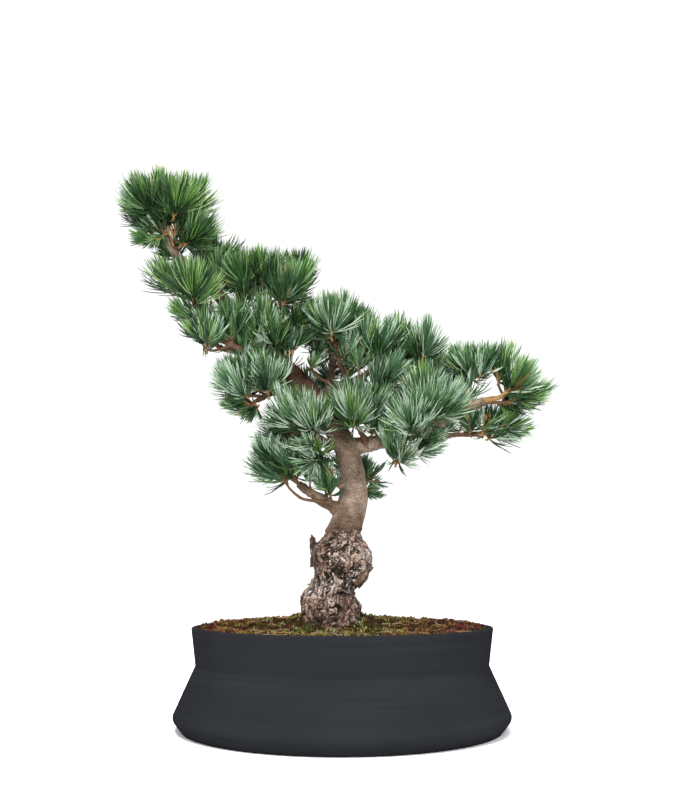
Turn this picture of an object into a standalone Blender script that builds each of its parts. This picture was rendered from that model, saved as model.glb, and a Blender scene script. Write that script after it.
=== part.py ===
"""A japanese white pine grown as a bonsai, in a round flared ceramic pot.

Units are metres and +Z is up. The origin is the centre of the pot's flat underside,
+X is to the right and +Y is away from someone who looks at the front.
"""
import math
import random

import bmesh
import bpy
from mathutils import Vector

PLANT = "white_pine_bonsai"
CLEAR = 0.0003            # gap between pieces that touch
WELD = 0.000001           # corners of a tube's cap and side nearer than this are one corner
GOLDEN_ANGLE = math.pi * (3 - math.sqrt(5))

# Pot
POT_HEIGHT = 0.111
RIM_RADIUS = 0.171
RIM_LIP = 0.001
CREASE_HEIGHT = 0.069
CREASE_RADIUS = 0.1655
SKIRT_RADIUS = 0.189
SKIRT_HEIGHT = 0.012
SKIRT_ROUND = 0.004
FOOT_RADIUS = 0.179
WALL = 0.007
FLOOR = 0.012
DRAIN_RADIUS = 0.012
DRAIN_PLACE = 0.080
POT_STEPS = 32

# Soil with its moss mound
SOIL_EDGE_DROP = 0.004
MOUND_RISE = 0.015
MOUND_REACH = 0.058
MOUND_FRONT = -0.045      # the mound dies away between these two places, towards the front
MOUND_BACK = 0.015
BANK_RISE = 0.0045        # the moss stands above the rim at the sides and the back
BANK_FRONT = -0.060
BANK_BACK = 0.020
DOME_RISE = 0.003
CLUMP_RISE = 0.0016       # moss grows in cushions
CLUMP_PITCH = 0.044
SOIL_RINGS = (0.146, 0.124, 0.101, 0.078, 0.056, 0.034)

# Trunk: centre line and radius, from the flat cut under the old stock to the tip
TRUNK_STATIONS = (
    (-0.0120, 0.000, 0.1000, 0.0318),
    (-0.0138, 0.000, 0.1289, 0.0333),
    (-0.0127, 0.000, 0.1515, 0.0282),
    (-0.0104, 0.000, 0.1594, 0.0262),
    (-0.0018, 0.000, 0.1833, 0.0345),
    (-0.0003, 0.000, 0.1970, 0.0352),
    (0.0010, 0.000, 0.2130, 0.0232),
    (0.0045, 0.000, 0.2270, 0.0190),
    (0.0125, 0.002, 0.2580, 0.0170),
    (0.0086, 0.004, 0.2987, 0.0143),
    (-0.0021, 0.007, 0.3277, 0.0138),
    (-0.0311, 0.012, 0.3732, 0.0135),
    (-0.0725, 0.012, 0.4174, 0.0121),
    (-0.0984, 0.012, 0.4484, 0.0105),
    (-0.1566, 0.010, 0.5094, 0.0073),
    (-0.1998, 0.005, 0.5498, 0.0055),
    (-0.2219, 0.000, 0.5800, 0.0039),
)
TRUNK_SIDES = 12
TRUNK_STEPS = 2
ROOT_LOBES = 5
ROOT_LOBE_DEPTH = 0.09    # share of the radius, at the ground
ROOT_LOBE_FADE = 0.030    # height over which the lobes die away
ROOT_LOBE_TURN = 0.6      # radians
# Burls and knobs on the old stock: height, bearing in degrees, reach, how far it stands out
BURLS = (
    (0.187, 205, 0.016, 0.0035),
    (0.189, 330, 0.018, 0.0030),
    (0.170, 20, 0.012, 0.0045),
    (0.140, 170, 0.010, 0.0045),
    (0.136, 345, 0.011, 0.0035),
    (0.200, 90, 0.018, 0.0035),
    (0.150, 100, 0.016, 0.0040),
)
# Dead stub and torn plate of the stock: foot, tip, radius at the foot and at the tip
STUBS = (
    ((-0.0270, -0.006, 0.172), (-0.0345, -0.008, 0.208), 0.0060, 0.0022),
    ((0.0130, -0.006, 0.158), (0.0345, -0.008, 0.174), 0.0085, 0.0025),
)

# Boughs and limbs: what it leaves and at what share of its length, the radius at the root and
# at the tip, and the places that the limb passes after it has left
LIMBS = {
    "bough_low_left": ("trunk", 0.245, 0.0085, 0.0035,
                       ((-0.022, -0.005, 0.253), (-0.039, -0.008, 0.264), (-0.051, -0.010, 0.273))),
    "limb_low_inner": ("trunk", 0.305, 0.0058, 0.0032,
                       ((-0.009, -0.010, 0.276), (-0.018, -0.017, 0.286), (-0.024, -0.022, 0.297))),
    "bough_low_back": ("trunk", 0.287, 0.0060, 0.0035,
                       ((0.016, 0.025, 0.264), (0.021, 0.042, 0.270), (0.023, 0.056, 0.277))),
    "bough_right": ("trunk", 0.385, 0.0095, 0.0048,
                    ((0.050, -0.002, 0.325), (0.103, -0.009, 0.341), (0.165, -0.016, 0.370))),
    "bough_right_low": ("bough_right", 0.458, 0.0044, 0.0029,
                        ((0.105, 0.008, 0.333), (0.136, 0.010, 0.333), (0.162, 0.009, 0.334))),
    "limb_fork": ("bough_right", 0.150, 0.0046, 0.0030,
                  ((0.024, -0.010, 0.329), (0.019, -0.017, 0.337))),
    "limb_mid": ("bough_right", 0.300, 0.0042, 0.0028,
                 ((0.054, 0.008, 0.336), (0.051, 0.017, 0.344))),
    "limb_front": ("bough_right", 0.480, 0.0047, 0.0031,
                   ((0.087, -0.025, 0.334), (0.090, -0.041, 0.334))),
    "limb_under": ("bough_right", 0.370, 0.0038, 0.0027,
                   ((0.069, -0.013, 0.316), (0.067, -0.018, 0.306))),
    "limb_rise": ("bough_right", 0.640, 0.0052, 0.0032,
                  ((0.108, 0.010, 0.358), (0.104, 0.022, 0.380), (0.098, 0.028, 0.406))),
    "bough_back_right": ("bough_right", 0.400, 0.0050, 0.0032,
                         ((0.080, 0.024, 0.342), (0.097, 0.045, 0.356), (0.112, 0.061, 0.370))),
    "bough_upper_right": ("trunk", 0.505, 0.0066, 0.0036,
                          ((-0.009, 0.008, 0.389), (0.013, 0.003, 0.395), (0.032, -0.003, 0.408))),
    "limb_centre": ("bough_upper_right", 0.600, 0.0038, 0.0027,
                    ((0.001, -0.003, 0.405), (-0.007, -0.006, 0.430))),
    "bough_left_mid": ("trunk", 0.505, 0.0066, 0.0025,
                       ((-0.055, 0.006, 0.383), (-0.081, 0.000, 0.383), (-0.104, -0.004, 0.371))),
    "limb_left_mid": ("bough_left_mid", 0.520, 0.0036, 0.0025,
                      ((-0.083, -0.010, 0.384), (-0.096, -0.016, 0.383))),
    "bough_left_centre": ("trunk", 0.404, 0.0056, 0.0030,
                          ((-0.018, -0.002, 0.320), (-0.034, -0.004, 0.330), (-0.046, -0.004, 0.334))),
    "limb_left_front": ("bough_left_centre", 0.350, 0.0037, 0.0026,
                        ((-0.025, -0.015, 0.326), (-0.030, -0.026, 0.328))),
    "bough_left_up": ("trunk", 0.635, 0.0066, 0.0036,
                      ((-0.099, 0.004, 0.427), (-0.113, -0.003, 0.429), (-0.125, -0.008, 0.432))),
    "limb_left_tip": ("bough_left_up", 0.620, 0.0034, 0.0023,
                      ((-0.129, 0.007, 0.433), (-0.145, 0.008, 0.438), (-0.158, 0.006, 0.445))),
    "limb_left_rise": ("bough_left_up", 0.550, 0.0035, 0.0026,
                       ((-0.124, -0.023, 0.432), (-0.153, -0.034, 0.447), (-0.171, -0.038, 0.475))),
    "limb_left_out": ("trunk", 0.872, 0.0038, 0.0026,
                      ((-0.188, 0.003, 0.518), (-0.198, 0.001, 0.514))),
    "limb_crown_back": ("trunk", 0.850, 0.0042, 0.0030,
                        ((-0.161, 0.022, 0.525), (-0.159, 0.031, 0.536))),
    "limb_crown_right": ("trunk", 0.690, 0.0052, 0.0034,
                         ((-0.093, 0.003, 0.468), (-0.088, -0.006, 0.492))),
    "limb_crown_low": ("trunk", 0.640, 0.0040, 0.0028,
                       ((-0.073, 0.017, 0.444), (-0.066, 0.019, 0.458))),
    "bough_back_mid": ("trunk", 0.478, 0.0062, 0.0036,
                       ((-0.021, 0.036, 0.385), (-0.016, 0.056, 0.411), (-0.014, 0.070, 0.437))),
    "bough_back_left": ("trunk", 0.423, 0.0052, 0.0032,
                        ((-0.021, 0.030, 0.344), (-0.038, 0.048, 0.352), (-0.054, 0.060, 0.359))),
    "limb_back_up": ("trunk", 0.754, 0.0046, 0.0033,
                     ((-0.128, 0.032, 0.498), (-0.133, 0.050, 0.518))),
}
LIMB_SPACING = 0.020      # length of limb between two rings
THICK_LIMB = 0.006        # limbs thicker than this get eight sides instead of six

# Masses of foliage: the limb that carries it and at what share of its length, the heart, the way
# that its shoots point, how many shoots it has and how far they stand from the heart
MASSES = {
    "mass_low_left": ("bough_low_left", 1.0, (-0.059, -0.012, 0.287), (-0.35, -0.10, 0.90), 4, 0.013),
    "mass_low_inner": ("limb_low_inner", 1.0, (-0.028, -0.028, 0.304), (-0.35, -0.70, -0.60), 3, 0.012),
    "mass_low_back": ("bough_low_back", 1.0, (0.022, 0.067, 0.286), (0.10, 0.80, 0.60), 3, 0.012),
    "mass_left_centre": ("bough_left_centre", 1.0, (-0.062, -0.007, 0.337), (-0.50, -0.10, 0.75), 3, 0.014),
    "mass_left_front": ("limb_left_front", 1.0, (-0.031, -0.036, 0.331), (0.00, -0.90, 0.35), 2, 0.011),
    "mass_left_mid": ("bough_left_mid", 1.0, (-0.111, -0.005, 0.366), (-0.75, 0.00, -0.10), 2, 0.010),
    "mass_left_high": ("limb_left_mid", 1.0, (-0.109, -0.021, 0.387), (-0.55, -0.20, 0.75), 4, 0.020),
    "mass_left_up": ("bough_left_up", 1.0, (-0.134, -0.010, 0.446), (-0.05, -0.05, 0.95), 3, 0.010),
    "mass_left_tip": ("limb_left_tip", 1.0, (-0.165, 0.004, 0.454), (-0.05, 0.10, 1.00), 2, 0.011),
    "mass_crown_front": ("limb_left_rise", 1.0, (-0.174, -0.040, 0.487), (0.05, -0.20, 0.97), 3, 0.013),
    "mass_crown_left": ("limb_left_out", 1.0, (-0.207, -0.002, 0.512), (-0.40, 0.00, 0.90), 2, 0.011),
    "mass_crown_back": ("limb_crown_back", 1.0, (-0.160, 0.035, 0.549), (0.15, 0.10, 0.95), 3, 0.016),
    "mass_crown_right": ("limb_crown_right", 1.0, (-0.086, -0.009, 0.505), (0.20, -0.10, 0.97), 4, 0.028),
    "mass_crown_low": ("limb_crown_low", 1.0, (-0.053, 0.016, 0.460), (0.50, -0.25, 0.60), 4, 0.025),
    "mass_apex_top": ("trunk", 1.0, (-0.2165, 0.000, 0.600), (0.00, -0.05, 1.00), 7, 0.024),
    "mass_apex_right": ("trunk", 0.955, (-0.193, -0.008, 0.567), (0.65, -0.20, 0.75), 3, 0.013),
    "mass_centre_top": ("limb_centre", 1.0, (-0.009, -0.008, 0.445), (0.00, -0.20, 0.95), 5, 0.028),
    "mass_upper_right": ("bough_upper_right", 1.0, (0.040, -0.006, 0.420), (0.40, -0.20, 0.85), 3, 0.016),
    "mass_right_top": ("limb_rise", 1.0, (0.094, 0.030, 0.420), (0.20, 0.00, 0.95), 5, 0.030),
    "mass_fork": ("limb_fork", 1.0, (0.017, -0.022, 0.346), (0.10, -0.50, 0.85), 4, 0.015),
    "mass_mid": ("limb_mid", 1.0, (0.050, 0.024, 0.354), (0.00, 0.30, 0.90), 3, 0.014),
    "mass_front": ("limb_front", 1.0, (0.092, -0.050, 0.342), (0.10, -0.70, 0.70), 4, 0.018),
    "mass_under": ("limb_under", 1.0, (0.065, -0.023, 0.298), (0.30, -0.70, 0.40), 2, 0.010),
    "mass_right_low": ("bough_right_low", 1.0, (0.171, 0.009, 0.336), (0.55, 0.00, 0.80), 3, 0.013),
    "mass_right_up": ("bough_right", 0.880, (0.152, -0.016, 0.400), (0.05, 0.00, 1.00), 3, 0.016),
    "mass_right_out": ("bough_right", 1.0, (0.190, -0.017, 0.377), (0.80, 0.00, 0.60), 4, 0.017),
    "mass_back_mid": ("bough_back_mid", 1.0, (-0.013, 0.077, 0.450), (0.00, 0.80, 0.60), 5, 0.031),
    "mass_back_left": ("bough_back_left", 1.0, (-0.063, 0.067, 0.364), (-0.40, 0.80, 0.40), 3, 0.025),
    "mass_back_up": ("limb_back_up", 1.0, (-0.136, 0.060, 0.529), (0.00, 0.70, 0.60), 3, 0.026),
    "mass_back_right": ("bough_back_right", 1.0, (0.122, 0.071, 0.380), (0.40, 0.80, 0.40), 4, 0.025),
}
SEED = 1913
STEM_RADIUS = 0.0024
COLLAR_LENGTH = 0.004     # the stem's first stretch, in line with the limb that it meets
TWIG_RADIUS = 0.0017
SHOOT_LENGTH = 0.013
SHOOT_TURN = 1.6 * GOLDEN_ANGLE
SHOOT_SPREAD = 0.70       # how far the outer shoots lean away from the aim
SHOOT_REACH = (0.80, 1.15)    # shares of the mass's spread
SHOOT_RISE = (-0.45, 0.35)
NEEDLE_LENGTH = 0.046
NEEDLE_SHORTEST = 0.85
# Whorls of needles on a shoot: height, radius where neighbouring needles part, thickness of the
# needles there and their swing from the shoot's direction
WHORLS = (
    (0.003, 0.0046, 0.0020, 66),
    (0.011, 0.0034, 0.0030, 30),
)
NEEDLES_PER_WHORL = 6
WHORL_WANDER = 13         # degrees by which a needle may leave its whorl's swing
NEEDLE_TESTS = 8          # places along a needle that have to be free
SPACE_MARGIN = 0.0019     # from a needle's centre line to the border of its mass's space
LIMB_MARGIN = 0.0024      # from a needle's centre line to a limb's bark

COLOURS = {
    "pot_clay": ((0.035, 0.037, 0.042), 0.55),
    "moss": ((0.16, 0.17, 0.04), 0.95),
    "old_bark": ((0.23, 0.17, 0.14), 0.9),
    "bark": ((0.24, 0.19, 0.14), 0.8),
    "needles": ((0.10, 0.22, 0.13), 0.6),
}


def clear_scene():
    for thing in list(bpy.data.objects):
        bpy.data.objects.remove(thing, do_unlink=True)


def new_collection(name):
    made = bpy.data.collections.new(name)
    bpy.context.scene.collection.children.link(made)
    return made


def material(name):
    made = bpy.data.materials.get(name)
    if made is None:
        colour, roughness = COLOURS[name]
        made = bpy.data.materials.new(name)
        made.use_nodes = True
        shader = made.node_tree.nodes["Principled BSDF"]
        shader.inputs["Base Color"].default_value = (*colour, 1)
        shader.inputs["Roughness"].default_value = roughness
        shader.inputs["Metallic"].default_value = 0
    return made


def add_object(name, data, collection, finish):
    made = bpy.data.objects.new(name, data)
    collection.objects.link(made)
    data.materials.append(material(finish))
    return made


def mesh_from(bm, name):
    mesh = bpy.data.meshes.new(name)
    bmesh.ops.recalc_face_normals(bm, faces=bm.faces)
    bm.to_mesh(mesh)
    bm.free()
    return mesh


def evaluated_mesh(thing):
    graph = bpy.context.evaluated_depsgraph_get()
    return bpy.data.meshes.new_from_object(thing.evaluated_get(graph))


def hide_cutter(cutter):
    cutter.hide_render = True
    cutter.display_type = "WIRE"


def cut(piece, cutter):
    hide_cutter(cutter)
    modifier = piece.modifiers.new("cut by " + cutter.name, "BOOLEAN")
    modifier.operation = "DIFFERENCE"
    modifier.object = cutter


# Routes of the trunk and limbs

def smooth_route(points, steps):
    """A Catmull-Rom curve through the points, with steps places from each point to the next."""
    line = [Vector(p) for p in points]
    places = []
    for k in range(len(line) - 1):
        here, there = line[k], line[k + 1]
        before = line[k - 1] if k else here * 2 - there
        after = line[k + 2] if k + 2 < len(line) else there * 2 - here
        for step in range(steps):
            t = step / steps
            bend = (before * 2 - here * 5 + there * 4 - after) * t ** 2
            twist = (here * 3 - before - there * 3 + after) * t ** 3
            places.append((here * 2 + (there - before) * t + bend + twist) * 0.5)
    places.append(line[-1])
    return places


def point_at(route, share):
    """The place at this share of the route's length, and the way that the route runs there."""
    lengths = [(b[0] - a[0]).length for a, b in zip(route, route[1:])]
    left = share * sum(lengths)
    for k, length in enumerate(lengths):
        if left <= length or k == len(lengths) - 1:
            t = min(left / length, 1)
            place = route[k][0].lerp(route[k + 1][0], t)
            radius = route[k][1] + (route[k + 1][1] - route[k][1]) * t
            return place, radius, (route[k + 1][0] - route[k][0]).normalized()
        left -= length


def trunk_route():
    places = smooth_route(TRUNK_STATIONS, TRUNK_STEPS)
    return [(Vector(p[:3]), p[3]) for p in places]


def limb_route(routes, parent, share, root_radius, tip_radius, via):
    start = point_at(routes[parent], share)[0]
    points = [start] + [Vector(p) for p in via]
    length = sum((b - a).length for a, b in zip(points, points[1:]))
    steps = max(2, round(length / LIMB_SPACING / len(via)))
    places = smooth_route(points, steps)
    last = len(places) - 1
    return [(p, root_radius + (tip_radius - root_radius) * k / last) for k, p in enumerate(places)]


def all_routes():
    routes = {"trunk": trunk_route()}
    for name, (parent, share, root_radius, tip_radius, via) in LIMBS.items():
        routes[name] = limb_route(routes, parent, share, root_radius, tip_radius, via)
    return routes


# Pot and soil

def inner_radius(height):
    """Radius of the pot's inside wall at a height."""
    if height >= CREASE_HEIGHT:
        t = (height - CREASE_HEIGHT) / (POT_HEIGHT - CREASE_HEIGHT)
        return CREASE_RADIUS + (RIM_RADIUS - CREASE_RADIUS) * t - WALL
    t = (height - FLOOR) / (CREASE_HEIGHT - FLOOR)
    return SKIRT_RADIUS - 1.5 * WALL + (CREASE_RADIUS + 0.5 * WALL - SKIRT_RADIUS) * t


def turned(name, profile, collection, finish):
    """A solid turned round +Z from a profile of (radius, height), its outer side top to bottom."""
    bm = bmesh.new()
    verts = [bm.verts.new((radius, 0, height)) for radius, height in profile]
    for a, b in zip(verts, verts[1:]):
        bm.edges.new((a, b))
    mesh = bpy.data.meshes.new(name)
    bm.to_mesh(mesh)
    bm.free()
    made = add_object(name, mesh, collection, finish)
    screw = made.modifiers.new("turn", "SCREW")
    screw.axis = "Z"
    screw.steps = POT_STEPS
    screw.render_steps = POT_STEPS
    screw.use_merge_vertices = True
    screw.merge_threshold = 0.0001
    return made


def pot_profile():
    return [
        (0, FLOOR),
        (inner_radius(FLOOR), FLOOR),
        (inner_radius(CREASE_HEIGHT), CREASE_HEIGHT),
        (inner_radius(POT_HEIGHT), POT_HEIGHT - RIM_LIP),
        (inner_radius(POT_HEIGHT) + RIM_LIP, POT_HEIGHT),
        (RIM_RADIUS - RIM_LIP, POT_HEIGHT),
        (RIM_RADIUS, POT_HEIGHT - RIM_LIP),
        (CREASE_RADIUS, CREASE_HEIGHT),
        (SKIRT_RADIUS - SKIRT_ROUND / 4, SKIRT_HEIGHT + SKIRT_ROUND),
        (SKIRT_RADIUS, SKIRT_HEIGHT),
        (SKIRT_RADIUS - SKIRT_ROUND / 2, SKIRT_HEIGHT - SKIRT_ROUND),
        (FOOT_RADIUS, 0),
        (0, 0),
    ]


def make_pot(collection, cutters):
    pot = turned("pot", pot_profile(), collection, "pot_clay")
    for side, name in ((-1, "drain_left"), (1, "drain_right")):
        bm = bmesh.new()
        bmesh.ops.create_cone(bm, cap_ends=True, segments=16, radius1=DRAIN_RADIUS,
                              radius2=DRAIN_RADIUS, depth=4 * FLOOR)
        hole = add_object(name, mesh_from(bm, name), cutters, "pot_clay")
        hole.location = (side * DRAIN_PLACE, 0, FLOOR / 2)
        cut(pot, hole)
    return pot


def smoothstep(low, high, value):
    t = min(max((value - low) / (high - low), 0), 1)
    return t * t * (3 - 2 * t)


def soil_height(x, y):
    """Height of the moss: low along the front, higher behind, heaped round the trunk, in cushions."""
    away = math.hypot(x - TRUNK_STATIONS[0][0], y - TRUNK_STATIONS[0][1])
    heap = MOUND_RISE * math.exp(-(away / MOUND_REACH) ** 2) * smoothstep(MOUND_FRONT, MOUND_BACK, y)
    dome = DOME_RISE * (1 - (math.hypot(x, y) / RIM_RADIUS) ** 2)
    bank = (BANK_RISE + dome) * smoothstep(BANK_FRONT, BANK_BACK, y)
    turn = 2 * math.pi / CLUMP_PITCH
    cushions = CLUMP_RISE * math.sin(turn * x) * math.sin(turn * y)
    return POT_HEIGHT - SOIL_EDGE_DROP + heap + bank + cushions


def make_soil(collection, trunk_cutter):
    edge = POT_HEIGHT - SOIL_EDGE_DROP
    bottom = FLOOR + CLEAR
    profile = [(0, edge)] + [(radius, edge) for radius in reversed(SOIL_RINGS)]
    profile += [(inner_radius(edge) - 2 * CLEAR, edge),
                (inner_radius(CREASE_HEIGHT) - 2 * CLEAR, CREASE_HEIGHT),
                (inner_radius(bottom) - 2 * CLEAR, bottom),
                (0, bottom)]
    shape = turned("soil shape", profile, collection, "moss")
    mesh = evaluated_mesh(shape)
    bpy.data.objects.remove(shape, do_unlink=True)
    for vertex in mesh.vertices:
        if vertex.co.z > edge - CLEAR:
            vertex.co.z = soil_height(vertex.co.x, vertex.co.y)
    mesh.name = "soil"
    soil = bpy.data.objects.new("soil", mesh)
    collection.objects.link(soil)
    cut(soil, trunk_cutter)
    return soil


# Trunk and limbs

def stock_radius(height, angle, radius):
    """The trunk's radius at a height and bearing, with root lobes and burls."""
    ground = TRUNK_STATIONS[0][2]
    lobe = ROOT_LOBE_DEPTH * math.exp(-(height - ground) / ROOT_LOBE_FADE)
    grown = radius * (1 + lobe * math.cos(ROOT_LOBES * angle + ROOT_LOBE_TURN))
    for burl_height, bearing, reach, rise in BURLS:
        turn = math.remainder(angle - math.radians(bearing), 2 * math.pi) * radius
        away = math.hypot(turn, height - burl_height)
        grown += rise * math.exp(-(away / reach) ** 2)
    return grown


def add_ring(bm, place, along, radius, swell, height):
    side = Vector((0, 1, 0)).cross(along).normalized()
    back = along.cross(side)
    ring = []
    for k in range(TRUNK_SIDES):
        angle = 2 * math.pi * k / TRUNK_SIDES
        reach = stock_radius(height, angle, radius) + swell
        ring.append(bm.verts.new(place + side * reach * math.cos(angle) + back * reach * math.sin(angle)))
    return ring


def trunk_shape(route, swell):
    """Rings round the trunk's centre line, joined by side faces and closed at both ends."""
    bm = bmesh.new()
    rings = []
    for k, (place, radius) in enumerate(route):
        before = route[max(k - 1, 0)][0]
        after = route[min(k + 1, len(route) - 1)][0]
        along = (after - before).normalized()
        if k == 0:
            along = Vector((0, 0, 1))
            place = place - along * swell
        if k == len(route) - 1:
            place = place + along * swell
        rings.append(add_ring(bm, place, along, radius, swell, place.z))
    for low, high in zip(rings, rings[1:]):
        for k in range(TRUNK_SIDES):
            after = (k + 1) % TRUNK_SIDES
            bm.faces.new((low[k], low[after], high[after]))
            bm.faces.new((low[k], high[after], high[k]))
    bm.faces.new(list(reversed(rings[0])))
    bm.faces.new(rings[-1])
    return bm


def rod(start, end, start_radius, end_radius, sides):
    """A closed tapered rod between two places."""
    bm = bmesh.new()
    along = Vector(end) - Vector(start)
    bmesh.ops.create_cone(bm, cap_ends=True, segments=sides, radius1=start_radius,
                          radius2=end_radius, depth=along.length)
    turn = along.to_track_quat("Z", "Y").to_matrix().to_4x4()
    bmesh.ops.transform(bm, matrix=turn, verts=bm.verts)
    bmesh.ops.translate(bm, vec=(Vector(start) + Vector(end)) / 2, verts=bm.verts)
    return bm


def fuse(name, pieces, collection, finish):
    """One solid from closed pieces that reach into each other, as an object of its own."""
    helpers = bpy.data.collections.new("pieces of " + name)
    bpy.context.scene.collection.children.link(helpers)
    base = add_object(name, mesh_from(pieces[0], name), collection, finish)
    for k, piece in enumerate(pieces[1:]):
        part_name = "%s piece %d" % (name, k)
        helpers.objects.link(bpy.data.objects.new(part_name, mesh_from(piece, part_name)))
    union = base.modifiers.new("fuse", "BOOLEAN")
    union.operation = "UNION"
    union.operand_type = "COLLECTION"
    union.collection = helpers
    for solver in ("EXACT", "MANIFOLD"):
        union.solver = solver
        fused = evaluated_mesh(base)
        keep_largest(fused)
        if is_closed(fused):
            break
    base.modifiers.clear()
    base.data = fused
    for helper in list(helpers.objects):
        bpy.data.objects.remove(helper, do_unlink=True)
    bpy.data.collections.remove(helpers)
    return base


def is_closed(mesh):
    bm = bmesh.new()
    bm.from_mesh(mesh)
    closed = all(edge.is_manifold for edge in bm.edges)
    bm.free()
    return closed


def keep_largest(mesh):
    """Keeps the body with the most corners: loose scraps and sealed hollows go."""
    bm = bmesh.new()
    bm.from_mesh(mesh)
    bodies = []
    unseen = set(bm.verts)
    while unseen:
        front = [unseen.pop()]
        body = set(front)
        while front:
            for edge in front.pop().link_edges:
                for vertex in edge.verts:
                    if vertex in unseen:
                        unseen.remove(vertex)
                        body.add(vertex)
                        front.append(vertex)
        bodies.append(body)
    bodies.sort(key=len, reverse=True)
    for body in bodies[1:]:
        bmesh.ops.delete(bm, geom=list(body), context="VERTS")
    bm.to_mesh(mesh)
    bm.free()


def make_trunk(routes, collection, cutters):
    pieces = [trunk_shape(routes["trunk"], 0)]
    grown = [trunk_shape(routes["trunk"], CLEAR)]
    for foot, tip, foot_radius, tip_radius in STUBS:
        pieces.append(rod(foot, tip, foot_radius, tip_radius, 6))
        grown.append(rod(foot, tip, foot_radius + CLEAR, tip_radius + CLEAR, 6))
    trunk = fuse("trunk", pieces, collection, "old_bark")
    cutter = fuse("trunk with clearance", grown, cutters, "old_bark")
    hide_cutter(cutter)
    return trunk, cutter


def limb_mesh(name, route, swell):
    """A tapering tube round the route, as a mesh with its caps welded on."""
    data = bpy.data.curves.new(name, "CURVE")
    data.dimensions = "3D"
    data.bevel_depth = 1
    data.bevel_resolution = 2 if route[0][1] > THICK_LIMB else 1
    data.use_fill_caps = True
    spline = data.splines.new("POLY")
    spline.points.add(len(route) - 1)
    for point, (place, radius) in zip(spline.points, route):
        point.co = (*place, 1)
        point.radius = radius + swell
    curve = bpy.data.objects.new(name + " curve", data)
    bpy.context.scene.collection.objects.link(curve)
    bpy.context.view_layer.update()
    mesh = evaluated_mesh(curve)
    bpy.data.objects.remove(curve, do_unlink=True)
    bm = bmesh.new()
    bm.from_mesh(mesh)
    bmesh.ops.remove_doubles(bm, verts=bm.verts, dist=WELD)
    return mesh_from(bm, name)


def make_limbs(routes, collection, cutters, trunk_cutter):
    """Each limb is cut back to the bark of what carries it."""
    swollen = {"trunk": trunk_cutter}
    carriers = {entry[0] for entry in LIMBS.values()} - {"trunk"}
    for name in LIMBS:
        parent = LIMBS[name][0]
        if name in carriers:
            data = limb_mesh(name + " with clearance", routes[name], CLEAR)
            swollen[name] = add_object(name + " with clearance", data, cutters, "bark")
            hide_cutter(swollen[name])
        limb = add_object(name, limb_mesh(name, routes[name], 0), collection, "bark")
        cut(limb, swollen[parent])


# Foliage

def frame_round(along):
    side = along.orthogonal().normalized()
    return side, along.cross(side)


def stem_foot(routes, carrier, share, heart):
    """Where a mass's stem starts, just clear of the limb, and the way that it leaves."""
    place, radius, along = point_at(routes[carrier], share)
    if share == 1:
        return place + along * CLEAR, along
    away = heart - place
    away = (away - along * away.dot(along)).normalized()
    return place + away * (radius + CLEAR), away


def shoot_places(dice, heart, aim, count, spread):
    """Foot and direction of each shoot: one at the heart, the others on a spiral round the aim."""
    side, back = frame_round(aim)
    phase = dice.uniform(0, 2 * math.pi)
    shoots = [(heart, aim)]
    for k in range(1, count):
        turn = phase + k * SHOOT_TURN
        out = side * math.cos(turn) + back * math.sin(turn)
        rise = dice.uniform(*SHOOT_RISE)
        foot = heart + (out * dice.uniform(*SHOOT_REACH) + aim * rise) * spread
        shoots.append((foot, (aim + out * SHOOT_SPREAD).normalized()))
    return shoots


def plan_masses(routes):
    """Works out every mass's stem and shoots, so that each mass can keep clear of the others."""
    plan = {}
    for k, (name, (carrier, share, heart, aim, count, spread)) in enumerate(MASSES.items()):
        dice = random.Random(SEED + k)
        heart = Vector(heart)
        shoots = shoot_places(dice, heart, Vector(aim).normalized(), count, spread)
        foot, leave = stem_foot(routes, carrier, share, heart)
        plan[name] = {"dice": dice, "foot": foot, "leave": leave, "heart": heart, "shoots": shoots}
    return plan


def mass_sites(entry):
    """Places that claim the space round a mass."""
    sites = [entry["foot"], (entry["foot"] + entry["heart"]) / 2]
    for foot, along in entry["shoots"]:
        sites.append((foot + entry["heart"]) / 2)
        sites.append(foot)
        sites.append(foot + along * SHOOT_LENGTH)
    return sites


def distance_to_segment(place, start, end):
    along = end - start
    t = min(max((place - start).dot(along) / along.length_squared, 0), 1)
    return (place - start - along * t).length, t


def limb_rods(routes):
    """Every straight stretch of the trunk and limbs, with its thicker radius."""
    rods = []
    for route in routes.values():
        for (start, radius), (end, _) in zip(route, route[1:]):
            rods.append((start, end, radius))
    return rods


def near(rods, place, reach):
    return [entry for entry in rods
            if distance_to_segment(place, entry[0], entry[1])[0] < reach + entry[2]]


def clear_of_limbs(rods, place, margin):
    return all(distance_to_segment(place, start, end)[0] > radius + margin
               for start, end, radius in rods)


def inside_space(own, others, place):
    """True where the place is on this mass's side of the border with every other mass."""
    nearest = min(own, key=lambda site: (site - place).length_squared)
    own_square = (nearest - place).length_squared
    for site in others:
        gap = ((site - place).length_squared - own_square) / (2 * (site - nearest).length)
        if gap < SPACE_MARGIN:
            return False
    return True


def line_is_free(start, end, own, others, rods, margin):
    for k in range(1, NEEDLE_TESTS + 1):
        place = start.lerp(end, k / NEEDLE_TESTS)
        if not inside_space(own, others, place) or not clear_of_limbs(rods, place, margin):
            return False
    return True


def needle_tip(dice, root, along, out, swing, own, others, rods):
    """Where a needle ends, or None if it would leave the space or touch a limb."""
    turn = math.radians(swing + dice.uniform(-WHORL_WANDER, WHORL_WANDER))
    way = along * math.cos(turn) + out * math.sin(turn)
    tip = root + way * NEEDLE_LENGTH * dice.uniform(NEEDLE_SHORTEST, 1)
    if line_is_free(root, tip, own, others, rods, LIMB_MARGIN):
        return tip
    return None


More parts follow.
